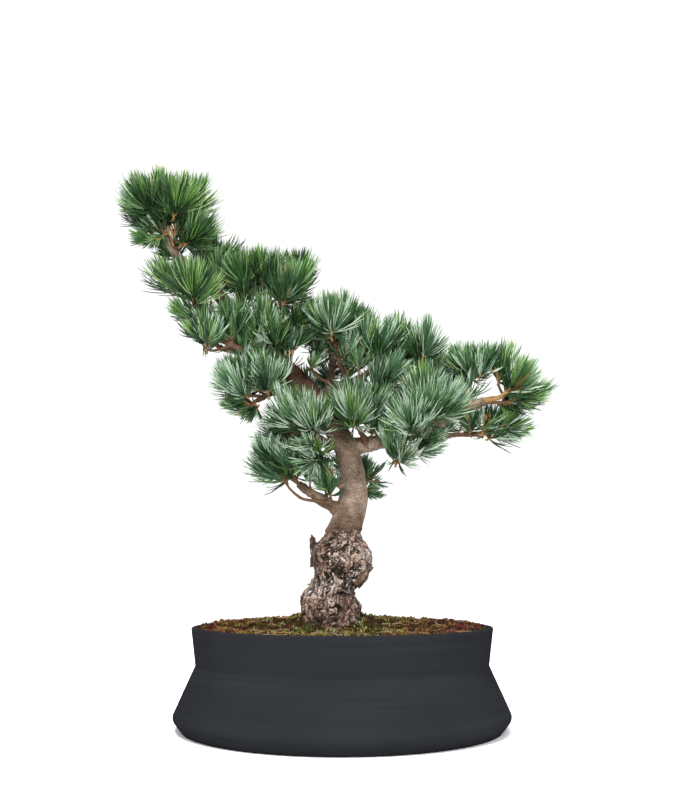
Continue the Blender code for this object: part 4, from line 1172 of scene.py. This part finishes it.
def make_foliage(routes, needle_materials, twig_materials):
    """The needles in a few pieces, and all twigs in one."""
    plan = plan_masses(routes)
    rods = limb_rods(routes)
    sites = {name: np.array(mass_sites(entry)) for name, entry in plan.items()}
    twigs = Pile()
    piles = {group: Pile() for group in NEEDLE_GROUPS}
    group_of = {name: group for group, names in NEEDLE_GROUPS.items() for name in names}
    for name, group in group_of.items():
        others = np.concatenate([places for other, places in sites.items() if other != name])
        grow_mass(name, plan[name], (sites[name], others), rods, piles[group], twigs)
    rng = np.random.default_rng(SEED)
    for foot, way in limb_shoots(routes, rng):
        group = group_of[nearest_mass(sites, foot)]
        grow_limb_shoot(foot, way, rods, piles[group], twigs, rng)
    for entry in FILL_TWIGS:
        group = group_of[nearest_mass(sites, entry[2])]
        grow_fill(routes, entry, rods, piles[group], twigs, rng)
    loop = np.array(smooth_route(LOOP_TWIG, 4))
    add_tube(twigs, loop, np.linspace(*LOOP_RADII, len(loop)), 8, 0, STEM_UNEVEN, SEED)
    made = []
    for group, needles in piles.items():
        piece = needles.make(group, needle_materials, False)
        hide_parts(*NEEDLE_GROUPS[group])
        made.append(piece)
    piece = twigs.make("twigs", twig_materials, True)
    return made + [piece]


# Pot

POT_HEIGHT = 0.111
RIM_RADIUS = 0.171
RIM_LIP = 0.0014
CREASE_HEIGHT = 0.069
CREASE_RADIUS = 0.1655
SKIRT_RADIUS = 0.189
SKIRT_HEIGHT = 0.012
SKIRT_ROUND = 0.0075
FOOT_RADIUS = 0.179
WALL = 0.007
FLOOR = 0.012
DRAIN_RADIUS = 0.012
DRAIN_PLACE = 0.080
POT_SIDES = 192
TURNING_DEPTH = 0.00008
PROFILE_STEP = 0.0034     # longest stretch of the pot's outline without a ring of corners
POT_FILLET = 0.004        # at the edge of the floor inside
# The crease outside: how far out and up from its own radius and height each corner lies
CREASE_SHAPE = ((0.0004, 0.0022), (0, 0.0003), (0.0008, -0.0012))
SKIRT_RISE = 0.003        # middle of the skirt's rounding above the skirt's height
FOOT_EDGE = (0.001, 0.0012)       # small bevel at the foot, out and up
PLAIN_BELOW = 0.004       # no turning marks lower than this
PLAIN_WITHIN = 0.1        # nor on the floor within this radius
TURNING_ROUND = 2.0       # how often the marks change round the pot, and with height
TURNING_UP = 420
MIDDLE_RING = 0.004       # radius of the smallest rings, which a face fills


def inner_radius(height):
    """Radius of the pot's inside wall at a height."""
    if height >= CREASE_HEIGHT:
        t = (height - CREASE_HEIGHT) / (POT_HEIGHT - CREASE_HEIGHT)
        return CREASE_RADIUS + (RIM_RADIUS - CREASE_RADIUS) * t - WALL
    t = (height - FLOOR) / (CREASE_HEIGHT - FLOOR)
    return SKIRT_RADIUS - 1.5 * WALL + (CREASE_RADIUS + 0.5 * WALL - SKIRT_RADIUS) * t


def arc(centre, radius, start, end, count):
    turns = [math.radians(start + (end - start) * k / count) for k in range(count + 1)]
    return [(centre[0] + radius * math.cos(a), centre[1] + radius * math.sin(a)) for a in turns]


def pot_profile():
    """Radius and height round the pot's section, from the middle of its floor inside to its foot."""
    lip = RIM_LIP
    rim_in = inner_radius(POT_HEIGHT)
    corners = [(MIDDLE_RING, FLOOR), (inner_radius(FLOOR) - POT_FILLET, FLOOR),
               (inner_radius(FLOOR), FLOOR + POT_FILLET), (inner_radius(CREASE_HEIGHT), CREASE_HEIGHT)]
    corners += arc((rim_in + lip, POT_HEIGHT - lip), lip, 180, 90, 5)
    corners += arc((RIM_RADIUS - lip, POT_HEIGHT - lip), lip, 90, 0, 5)
    corners += [(CREASE_RADIUS + out, CREASE_HEIGHT + up) for out, up in CREASE_SHAPE]
    corners += arc((SKIRT_RADIUS - SKIRT_ROUND, SKIRT_HEIGHT + SKIRT_RISE), SKIRT_ROUND, 24, -46, 10)
    corners += [(FOOT_RADIUS + FOOT_EDGE[0], FOOT_EDGE[1]), (FOOT_RADIUS, 0), (MIDDLE_RING, 0)]
    return corners


def refined(profile, longest):
    """The same outline with points close enough together for the turning marks."""
    fine = []
    for a, b in zip(profile, profile[1:]):
        steps = max(1, round(math.dist(a, b) / longest))
        fine += [(a[0] + (b[0] - a[0]) * k / steps, a[1] + (b[1] - a[1]) * k / steps) for k in range(steps)]
    fine.append(profile[-1])
    return fine


def make_pot(materials):
    """The turned pot, with its floor closed and two drain holes in it."""
    corners = []
    profile = refined(pot_profile(), PROFILE_STEP)
    for radius, height in profile:
        marked = height > PLAIN_BELOW and radius > PLAIN_WITHIN
        for k in range(POT_SIDES):
            turn = math.tau * k / POT_SIDES
            spot = (math.cos(turn) * TURNING_ROUND, math.sin(turn) * TURNING_ROUND, height * TURNING_UP)
            marks = noise.noise(Vector(spot)) * TURNING_DEPTH if marked else 0
            reach = radius + marks
            corners.append((reach * math.cos(turn), reach * math.sin(turn), height))
    pot = mesh_object("pot_shell", corners, tube_faces(len(profile), POT_SIDES), materials, True)
    close_middle(pot.data)
    for side in (-1, 1):
        drill(pot, side * DRAIN_PLACE)
    pot.data.set_sharp_from_angle(angle=math.radians(50))
    return pot


def close_middle(mesh):
    """Fills the small rings at the middle of the floor and of the underside."""
    bm = bmesh.new()
    bm.from_mesh(mesh)
    edges = [edge for edge in bm.edges if edge.is_boundary]
    bmesh.ops.holes_fill(bm, edges=edges, sides=0)
    bmesh.ops.recalc_face_normals(bm, faces=bm.faces)
    bm.to_mesh(mesh)
    bm.free()


def drill(pot, x):
    """Cuts a drain hole through the floor."""
    bm = bmesh.new()
    bmesh.ops.create_cone(bm, cap_ends=True, segments=48, radius1=DRAIN_RADIUS, radius2=DRAIN_RADIUS,
                          depth=4 * FLOOR, matrix=Matrix.Translation((x, 0, FLOOR / 2)))
    mesh = bpy.data.meshes.new("drill")
    bm.to_mesh(mesh)
    bm.free()
    cutter = add_object("drill", mesh)
    hole = pot.modifiers.new("drain hole", "BOOLEAN")
    hole.operation = "DIFFERENCE"
    hole.object = cutter
    graph = bpy.context.evaluated_depsgraph_get()
    made = bpy.data.meshes.new_from_object(pot.evaluated_get(graph))
    pot.modifiers.clear()
    pot.data = made
    bpy.data.objects.remove(cutter, do_unlink=True)


# Soil and moss

SOIL_EDGE_DROP = 0.004
MOUND_RISE = 0.015
MOUND_REACH = 0.058
MOUND_FRONT = -0.045
MOUND_BACK = 0.015
BANK_RISE = 0.0045        # the moss stands above the rim at the sides and the back
BANK_FRONT = -0.060
BANK_BACK = 0.020
DOME_RISE = 0.003
CLUMP_RISE = 0.0016       # moss grows in cushions
CLUMP_PITCH = 0.044
MOSS_RINGS = 110
MOSS_SIDES = 260
MOSS_CLUMP = 0.0105
MOSS_LIFT = 0.0050
MOSS_SINK = 0.0029        # the hollows between the cushions lie this much lower than the smooth soil
MOSS_FINE = 0.0010
MOSS_FINE_SIZE = 0.004
MOSS_WANDER_SIZE = 0.02   # bends in the cushions' outlines
MOSS_WANDER = 0.4
CUSHION_EDGE = 0.75       # where a cushion has come down to its lowest, in its own size
WALL_REACH = 0.02         # how far from the wall the relief is calmer
MOSS_CALM = 0.3           # share of this relief that is left at the pot's wall
MOSS_SKIRT = 0.016        # how far under the rim the moss bed goes down at the wall
MOSS_HOLLOW = 0.60        # places lower than this on a cushion get dark tints: painted shade in the hollows between the cushions, in the colours of dry and brown moss
MOSS_STRAY = 0.30         # share of a cushion's sprigs with another tint than its own
PATCH_SIZE = 0.020        # the tinted rings wander in and out in patches of this size
PATCH_REACH = 0.050       # by at most this much
PATCH_BLUR = 0.006
MOSS_DEPTH = 0.45         # share of their breadth that the moss's tinted rings have in depth
FRESH_TUFT = (-0.039, -0.031, 0.008)   # place and radius of the tuft of fresh green moss by the trunk
MOSS_LIMITS = (0.040, 0.078, 0.120)   # distances from the trunk where the moss turns drier
MOSS_TINTS = {
    "green": (0.034, 0.046, 0.008),
    "fresh": (0.034, 0.078, 0.014),
    "pale": (0.200, 0.205, 0.100),
    "yellow": (0.150, 0.112, 0.018),
    "ochre": (0.175, 0.100, 0.034),
    "brown": (0.040, 0.014, 0.006),
    "dry": (0.016, 0.006, 0.003),
    "maroon": (0.105, 0.010, 0.024),
}
MOSS_ZONES = (("pale", "green", "yellow"), ("yellow", "green", "pale"), ("ochre", "brown", "yellow"),
              ("maroon", "brown", "ochre"))
# Dark tints for the painted shade in the hollows between the cushions.
MOSS_HOLLOW_SHADE = ("dry", "dry", "brown")
# The moss's own sprigs, then grit and litter
SPRIG_COUNT = 15000
SPRIG_HEIGHT = (0.0010, 0.0023)
SPRIG_WIDTH = (0.0005, 0.0010)
SPRIG_SLANT = 0.0016
SPRIG_SINK = 0.0006
# How far from the wall the sprigs, the grit and the litter stay
SPRIG_EDGE = 0.003
GRIT_EDGE = 0.004
LITTER_EDGE = 0.020
LITTER_OVER = 0.012       # how much nearer a bit of litter may reach than its middle
CUSHION_GROWTH = 0.0018   # how much taller the moss's sprigs are on top of a cushion
FRESH_GROWTH = 1.7        # how many times taller the fresh tuft's are
GRIT_COUNT = 1500
GRIT_SIZE = (0.0010, 0.0024)
GRIT_STRETCH = (0.6, 1.2)
GRIT_ROUGH = 0.2
GRIT_AT_TRUNK = 0.15      # share of the grains kept at the trunk
GRIT_SPREAD = 0.16        # distance from it over which that share grows by one
LITTER_COUNT = 120
LITTER_LENGTH = (0.010, 0.034)
LITTER_BEND = 0.004
LITTER_RADII = (0.00040, 0.0009)      # of a needle and of a bit of twig
LITTER_LIFT = 0.0018
THICK_LITTER = 0.14       # share of bits of twig in the litter


def from_trunk(x, y):
    return math.hypot(x - TRUNK_STATIONS[0][0], y - TRUNK_STATIONS[0][1])


def soil_height(x, y):
    """Height of the moss: level at the rim, heaped round the trunk except towards the front."""
    away = from_trunk(x, y)
    heap = MOUND_RISE * math.exp(-(away / MOUND_REACH) ** 2) * smooth_step(MOUND_FRONT, MOUND_BACK, y)
    dome = DOME_RISE * (1 - (math.hypot(x, y) / RIM_RADIUS) ** 2)
    bank = (BANK_RISE + dome) * smooth_step(BANK_FRONT, BANK_BACK, y)
    turn = math.tau / CLUMP_PITCH
    cushions = CLUMP_RISE * math.sin(turn * x) * math.sin(turn * y)
    return POT_HEIGHT - SOIL_EDGE_DROP + heap + bank + cushions


def cushion(x, y):
    """How far up a cushion of moss a place is, from 0 to 1, and a number that is the cushion's own."""
    spot = Vector((x, y, 0))
    wander = noise.noise_vector(spot / MOSS_WANDER_SIZE) * MOSS_WANDER
    distances, cells = noise.voronoi(spot / MOSS_CLUMP + wander)
    return 1 - min(1, distances[0] / CUSHION_EDGE) ** 2, chance(cells[0])


def moss_height(x, y, edge):
    """The soil's height with clumps of moss on it, calm at the pot's wall."""
    clump = cushion(x, y)[0]
    fine = noise.fractal(Vector((x, y, 0)) / MOSS_FINE_SIZE, 1.0, 2.0, 3)
    calm = smooth_step(0, WALL_REACH, edge - math.hypot(x, y))
    relief = clump * MOSS_LIFT - MOSS_SINK + fine * MOSS_FINE
    return soil_height(x, y) + relief * (MOSS_CALM + (1 - MOSS_CALM) * calm)


def make_moss(materials):
    """The moss bed, in rings round the pot's middle and down along its wall."""
    edge = inner_radius(POT_HEIGHT - SOIL_EDGE_DROP) - 2 * CLEAR
    corners = []
    for ring in range(MOSS_RINGS + 1):
        radius = edge * (ring + 0.02) / (MOSS_RINGS + 0.02)
        for k in range(MOSS_SIDES):
            turn = math.tau * (k + 0.5 * (ring % 2)) / MOSS_SIDES
            x, y = radius * math.cos(turn), radius * math.sin(turn)
            corners.append((x, y, moss_height(x, y, edge)))
    for k in range(MOSS_SIDES):
        turn = math.tau * (k + 0.5 * (MOSS_RINGS % 2)) / MOSS_SIDES
        corners.append((edge * math.cos(turn), edge * math.sin(turn), POT_HEIGHT - MOSS_SKIRT))
    return mesh_object("moss_bed", corners, tube_faces(MOSS_RINGS + 2, MOSS_SIDES), materials, True)


def scattered(rng, count, edge):
    """Places on the soil, off the trunk's foot."""
    places = []
    while len(places) < count:
        turn, share = rng.uniform(0, math.tau), math.sqrt(rng.uniform())
        x, y = edge * share * math.cos(turn), edge * share * math.sin(turn)
        if from_trunk(x, y) > TRUNK_STATIONS[1][3] * 0.98:
            places.append((x, y))
    return places


def moss_kind(rng, x, y, height, own):
    """Dark as painted shade in the hollows between cushions; elsewhere green near the trunk, then ochre and
    brown, with dark red towards the wall.
    """
    # Painted shade: low on a cushion, in a hollow, the sprig gets a dark tint.
    if height < MOSS_HOLLOW:
        return MOSS_HOLLOW_SHADE[rng.integers(3)]
    away = from_trunk(x, y * MOSS_DEPTH)
    patch = noise.noise(Vector((x, y, 3)) / PATCH_SIZE) * PATCH_REACH + rng.normal(0, PATCH_BLUR)
    kinds = MOSS_ZONES[sum(away + patch > limit for limit in MOSS_LIMITS)]
    stray = rng.uniform() < MOSS_STRAY
    return kinds[rng.integers(3) if stray else int(own * 3)]


def make_sprigs(materials):
    """Small pointed shoots that cover the moss."""
    rng = np.random.default_rng(SEED)
    edge = inner_radius(POT_HEIGHT) - SPRIG_EDGE
    pile = Pile()
    for x, y in scattered(rng, SPRIG_COUNT, edge):
        clump, own = cushion(x, y)
        fresh = math.dist((x, y), FRESH_TUFT[:2]) < FRESH_TUFT[2]
        height = (rng.uniform(*SPRIG_HEIGHT) + CUSHION_GROWTH * clump) * (FRESH_GROWTH if fresh else 1)
        width = rng.uniform(*SPRIG_WIDTH)
        lean = rng.normal(0, SPRIG_SLANT, 2)
        phase = rng.uniform(0, math.tau)
        base = moss_height(x, y, edge) - SPRIG_SINK
        turns = phase + np.arange(3) * math.tau / 3
        ring = np.stack([x + width * np.cos(turns), y + width * np.sin(turns), np.full(3, base)], axis=-1)
        tip = (x + lean[0], y + lean[1], base + height)
        kind = moss_kind(rng, x, y, clump, own)
        corners = np.concatenate([ring, np.array(tip)[None]])
        slot = list(MOSS_TINTS).index("fresh" if fresh else kind)
        pile.add(corners, ((0, 1, 3), (1, 2, 3), (2, 0, 3)), slot)
    return pile.make("moss_sprigs", materials, False)


def make_grit(materials):
    """Grains of grit between the moss, most of them near the wall."""
    rng = np.random.default_rng(SEED + 1)
    edge = inner_radius(POT_HEIGHT) - GRIT_EDGE
    bm = bmesh.new()
    bmesh.ops.create_icosphere(bm, subdivisions=1, radius=1)
    shape = np.array([vertex.co for vertex in bm.verts])
    faces = np.array([[vertex.index for vertex in face.verts] for face in bm.faces])
    bm.free()
    pile = Pile()
    for x, y in scattered(rng, GRIT_COUNT, edge):
        if rng.uniform() > GRIT_AT_TRUNK + from_trunk(x, y) / GRIT_SPREAD:
            continue
        size = rng.uniform(*GRIT_SIZE)
        stretch = rng.uniform(*GRIT_STRETCH, 3)
        grain = shape * (1 + rng.uniform(-GRIT_ROUGH, GRIT_ROUGH, (len(shape), 1))) * stretch * size
        middle = np.array((x, y, moss_height(x, y, edge) + size * 0.25))
        pile.add(grain + middle, faces, rng.integers(3))
    return pile.make("grit", materials, False)


def make_litter(materials):
    """Fallen dry needles and bits of twig."""
    rng = np.random.default_rng(SEED + 2)
    edge = inner_radius(POT_HEIGHT) - LITTER_EDGE
    pile = Pile()
    for x, y in scattered(rng, LITTER_COUNT, edge):
        turn = rng.uniform(0, math.tau)
        length = rng.uniform(*LITTER_LENGTH)
        bend = rng.uniform(-LITTER_BEND, LITTER_BEND)
        t = np.linspace(-0.5, 0.5, 5)
        xs = x + math.cos(turn) * t * length - math.sin(turn) * bend * (1 - 4 * t ** 2)
        ys = y + math.sin(turn) * t * length + math.cos(turn) * bend * (1 - 4 * t ** 2)
        if np.hypot(xs, ys).max() > edge + LITTER_OVER:
            continue
        zs = [moss_height(a, b, edge) + LITTER_LIFT for a, b in zip(xs, ys)]
        line = np.stack([xs, ys, np.full(5, np.mean(zs)) * 0.6 + np.array(zs) * 0.4], axis=-1)
        thick = rng.uniform() < THICK_LITTER
        radii = np.full(5, LITTER_RADII[thick])
        add_tube(pile, line, radii, 5 if thick else 3, int(thick), 0.1, new_seed(rng))
    return pile.make("litter", materials, False)


# Materials

WHITE = (1.0, 1.0, 1.0)
# Name, colour, roughness and depth of the flecks of plain finishes
TWIG_LOOKS = (
    ("twig bark", (0.135, 0.080, 0.044), 0.75, 0.5),
    ("sprig bark", (0.300, 0.168, 0.070), 0.65, 0.4),
    ("bud scales", (0.400, 0.225, 0.085), 0.55, 0.3),
)
GRIT_LOOKS = (
    ("grit red", (0.070, 0.018, 0.014), 0.9, 0.4),
    ("grit brown", (0.090, 0.050, 0.026), 0.9, 0.4),
    ("grit plum", (0.036, 0.010, 0.014), 0.9, 0.4),
)
LITTER_LOOKS = (
    ("dry needles", (0.190, 0.110, 0.042), 0.7),
    ("dry twigs", (0.200, 0.135, 0.090), 0.8, 0.4),
)


class Finish:
    """A material's node tree, with short calls for the nodes that the finishes share."""

    def __init__(self, name, roughness, gloss=0.05):
        self.material = bpy.data.materials.new(name)
        self.material.use_nodes = True
        self.nodes = self.material.node_tree.nodes
        self.links = self.material.node_tree.links
        self.shader = self.nodes["Principled BSDF"]
        self.shader.inputs["Roughness"].default_value = roughness
        self.shader.inputs["Specular IOR Level"].default_value = gloss
        self.spot = self.nodes.new("ShaderNodeTexCoord").outputs["Object"]

    def stretched(self, x, y, z):
        made = self.nodes.new("ShaderNodeMapping")
        made.inputs["Scale"].default_value = (x, y, z)
        self.links.new(self.spot, made.inputs["Vector"])
        return made.outputs["Vector"]

    def noise(self, scale, detail=4, spot=None):
        made = self.nodes.new("ShaderNodeTexNoise")
        made.inputs["Scale"].default_value = scale
        made.inputs["Detail"].default_value = detail
        self.links.new(spot or self.spot, made.inputs["Vector"])
        return made.outputs["Fac"]

    def cells(self, scale, spot=None):
        made = self.nodes.new("ShaderNodeTexVoronoi")
        made.inputs["Scale"].default_value = scale
        self.links.new(spot or self.spot, made.inputs["Vector"])
        return made.outputs["Distance"]

    def attribute(self, name):
        made = self.nodes.new("ShaderNodeAttribute")
        made.attribute_name = name
        return made.outputs["Fac"]

    def ramp(self, value, *stops):
        made = self.nodes.new("ShaderNodeValToRGB")
        marks = made.color_ramp.elements
        while len(marks) < len(stops):
            marks.new(0.5)
        for mark, (place, colour) in zip(marks, stops):
            mark.position = place
            mark.color = (*colour, 1) if isinstance(colour, tuple) else (colour, colour, colour, 1)
        self.links.new(value, made.inputs["Fac"])
        return made.outputs["Color"]

    def mix(self, share, first, second, kind="MIX"):
        made = self.nodes.new("ShaderNodeMix")
        made.data_type = "RGBA"
        made.blend_type = kind
        for value, place in ((share, 0), (first, 6), (second, 7)):
            if isinstance(value, tuple):
                made.inputs[place].default_value = (*value, 1)
            elif isinstance(value, float):
                made.inputs[place].default_value = value
            else:
                self.links.new(value, made.inputs[place])
        return made.outputs[2]

    def times(self, share, first, second):
        return self.mix(share, first, second, "MULTIPLY")

    def colour(self, value):
        if isinstance(value, tuple):
            self.shader.inputs["Base Color"].default_value = (*value, 1)
        else:
            self.links.new(value, self.shader.inputs["Base Color"])

    def rough(self, value):
        self.links.new(value, self.shader.inputs["Roughness"])

    def bump(self, value, distance, strength=1.0):
        made = self.nodes.new("ShaderNodeBump")
        made.inputs["Distance"].default_value = distance
        made.inputs["Strength"].default_value = strength
        self.links.new(value, made.inputs["Height"])
        self.links.new(made.outputs["Normal"], self.shader.inputs["Normal"])


def trunk_finish():
    """Grey-lilac, pink-brown and tan plates with their cracks painted dark as shade, and speckled tan bark
    above, painted darker as shade inside the crown.
    """
    finish = Finish("trunk bark", 0.85)
    plates = finish.ramp(finish.attribute("tint"),
                         (0.0, (0.046, 0.031, 0.024)), (0.22, (0.145, 0.098, 0.073)),
                         (0.45, (0.255, 0.208, 0.190)), (0.68, (0.580, 0.535, 0.520)),
                         (0.85, (0.250, 0.188, 0.125)), (1.0, (0.760, 0.710, 0.680)))
    fine = finish.ramp(finish.noise(420, 5), (0.34, 0.22), (0.60, 1.0))
    plates = finish.times(0.8, plates, fine)
    blotches = finish.ramp(finish.noise(42, 3), (0.36, (0.34, 0.27, 0.24)), (0.52, (0.85, 0.78, 0.74)),
                           (0.64, WHITE))
    plates = finish.times(0.9, plates, blotches)
    rust = finish.ramp(finish.noise(27, 3), (0.52, WHITE), (0.64, (0.92, 0.76, 0.68)))
    plates = finish.times(1.0, plates, rust)
    foot = finish.times(1.0, plates, (0.70, 0.61, 0.57))
    plates = finish.mix(finish.attribute("foot"), plates, foot)
    # Painted shade: the cracks, furrows and layer steps of the old stock turn near-black.
    old = finish.mix(finish.ramp(finish.attribute("plate_and_crack_shade"), (0.15, 0.0), (0.75, 1.0)),
                     (0.018, 0.013, 0.010), plates)
    tan = finish.ramp(finish.noise(34, 3), (0.32, (0.072, 0.047, 0.033)), (0.50, (0.195, 0.142, 0.106)),
                      (0.68, (0.330, 0.260, 0.212)))
    streaks = finish.ramp(finish.noise(300, 5, finish.stretched(1, 1, 2.2)), (0.32, 0.35), (0.62, 1.0))
    tan = finish.times(0.8, tan, streaks)
    specks = finish.ramp(finish.cells(330), (0.16, 0.16), (0.34, 1.0))
    tan = finish.times(0.65, tan, specks)
    # Painted shade: the tan bark is darker inside the crown.
    dark = finish.times(1.0, tan, (0.36, 0.27, 0.22))
    tan = finish.mix(finish.attribute("crown"), tan, dark)
    reddish = finish.times(1.0, tan, (0.62, 0.49, 0.41))
    tan = finish.mix(finish.attribute("graft"), tan, reddish)
    finish.colour(finish.mix(finish.attribute("stock"), tan, old))
    finish.bump(finish.noise(700, 6), 0.0006, 0.8)
    return finish.material


def limb_finish():
    """Brown bark on the thin limbs and tan on the thick ones, with olive blotches."""
    finish = Finish("limb bark", 0.8)
    brown = finish.ramp(finish.noise(45, 4), (0.28, (0.054, 0.029, 0.018)), (0.50, (0.120, 0.070, 0.046)),
                        (0.72, (0.225, 0.150, 0.104)))
    tan = finish.ramp(finish.noise(60, 4), (0.30, (0.110, 0.076, 0.055)), (0.70, (0.290, 0.220, 0.168)))
    colour = finish.mix(finish.ramp(finish.attribute("age"), (0.55, 0.0), (0.95, 1.0)), brown, tan)
    streaks = finish.ramp(finish.noise(380, 5), (0.32, 0.35), (0.62, 1.0))
    colour = finish.times(0.8, colour, streaks)
    olive = finish.ramp(finish.noise(75, 3), (0.42, (0.56, 0.55, 0.44)), (0.56, WHITE))
    finish.colour(finish.times(0.9, colour, olive))
    finish.bump(finish.noise(800, 5), 0.0005, 0.8)
    return finish.material


def plain_finish(name, colour, roughness, fleck=0.0, gloss=0.05):
    """One colour, with darker flecks if asked."""
    finish = Finish(name, roughness, gloss)
    if fleck:
        shade = finish.ramp(finish.noise(500, 4), (0.30, 1 - fleck), (0.70, 1.0))
        finish.colour(finish.times(1.0, colour, shade))
    else:
        finish.colour(colour)
    return finish.material


def pot_finish():
    """Matt charcoal clay with faint marks from turning."""
    finish = Finish("pot clay", 0.7, 0.0)
    band = finish.noise(1.0, 6, finish.stretched(5, 5, 260))
    patches = finish.noise(9.0, 4)
    base = finish.ramp(band, (0.25, (0.0126, 0.0134, 0.0158)), (0.75, (0.0158, 0.0168, 0.0192)))
    cloud = finish.ramp(patches, (0.30, 0.80), (0.70, 1.0))
    base = finish.times(0.8, base, cloud)
    grain = finish.ramp(finish.noise(900, 3), (0.35, 0.86), (0.65, 1.0))
    finish.colour(finish.times(0.7, base, grain))
    finish.rough(finish.ramp(band, (0.2, 0.52), (0.8, 0.68)))
    finish.bump(finish.noise(1.0, 6, finish.stretched(14, 14, 700)), 0.0003, 0.25)
    return finish.material


def moss_finish():
    """The dark ground under the moss's sprigs."""
    finish = Finish("moss bed", 0.95)
    ground = finish.ramp(finish.noise(70, 5), (0.30, (0.006, 0.003, 0.002)), (0.45, (0.020, 0.011, 0.003)),
                         (0.58, (0.028, 0.024, 0.005)), (0.72, (0.052, 0.034, 0.010)))
    fine = finish.ramp(finish.noise(650, 4), (0.30, 0.25), (0.65, 1.0))
    finish.colour(finish.times(0.85, ground, fine))
    finish.bump(finish.noise(900, 5), 0.0010, 0.9)
    return finish.material


def needle_finishes():
    """Two finishes for each tint: outer side and inner sides."""
    made = []
    for name, (outer, inner) in TINTS.items():
        made.append(plain_finish("needles " + name, outer, 0.50, gloss=NEEDLE_GLOSS))
        made.append(plain_finish("needles " + name + " inner", inner, 0.60, gloss=NEEDLE_GLOSS))
    return made


# Stage

FLOOR_SIZE = 200
FLOOR_GAP = 0.0002
LIGHT_AIM = (0, 0, 0.35)
WORLD_LIGHT = 1.06
LIGHTS = {
    "key": ((-0.4, -1.3, 2.7), 0.7, 130),
    "front": ((0.2, -2.4, 1.0), 1.4, 45),
    "back": ((0.7, 1.6, 2.2), 1.2, 40),
}


def make_stage():
    bpy.ops.mesh.primitive_plane_add(size=FLOOR_SIZE, location=(0, 0, -FLOOR_GAP))
    floor = bpy.context.object
    floor.name = "floor"
    floor.data.materials.append(plain_finish("floor", (0.96, 0.96, 0.96), 0.9))
    world = bpy.data.worlds.new("studio")
    world.use_nodes = True
    background = world.node_tree.nodes["Background"].inputs
    background["Color"].default_value = (1, 1, 1, 1)
    background["Strength"].default_value = WORLD_LIGHT
    bpy.context.scene.world = world
    for name, (place, size, power) in LIGHTS.items():
        add_light(name, place, size, power)


def add_light(name, place, size, power):
    data = bpy.data.lights.new(name, "AREA")
    data.shape = "DISK"
    data.size = size
    data.energy = power
    made = add_object(name, data)
    made.location = place
    made.rotation_euler = (Vector(LIGHT_AIM) - Vector(place)).to_track_quat("-Z", "Y").to_euler()


def make_camera():
    data = bpy.data.cameras.new("camera")
    data.lens = CAMERA_LENS
    data.sensor_width = CAMERA_SENSOR
    data.sensor_fit = "AUTO"
    made = add_object("camera", data)
    made.location = CAMERA_PLACE
    made.rotation_euler = (math.radians(90 + CAMERA_TILT), 0, 0)
    bpy.context.scene.camera = made


def main():
    noise.seed_set(SEED)
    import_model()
    make_camera()
    make_stage()
    bpy.context.scene.view_settings.view_transform = "Standard"
    routes = all_routes()
    trunk = make_trunk([trunk_finish()])
    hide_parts("trunk")
    limbs = make_limbs(routes, [limb_finish()])
    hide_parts(*LIMBS)
    twig_materials = [plain_finish(*look) for look in TWIG_LOOKS]
    foliage = make_foliage(routes, needle_finishes(), twig_materials)
    pot = make_pot([pot_finish()])
    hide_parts("pot")
    moss = make_moss([moss_finish()])
    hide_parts("soil")
    sprigs = make_sprigs([plain_finish("moss " + name, colour, 0.9) for name, colour in MOSS_TINTS.items()])
    grit = make_grit([plain_finish(*look) for look in GRIT_LOOKS])
    litter = make_litter([plain_finish(*look) for look in LITTER_LOOKS])
    for piece in (trunk, limbs, pot, moss, sprigs, grit, litter, *foliage):
        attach(piece, "root")


main()
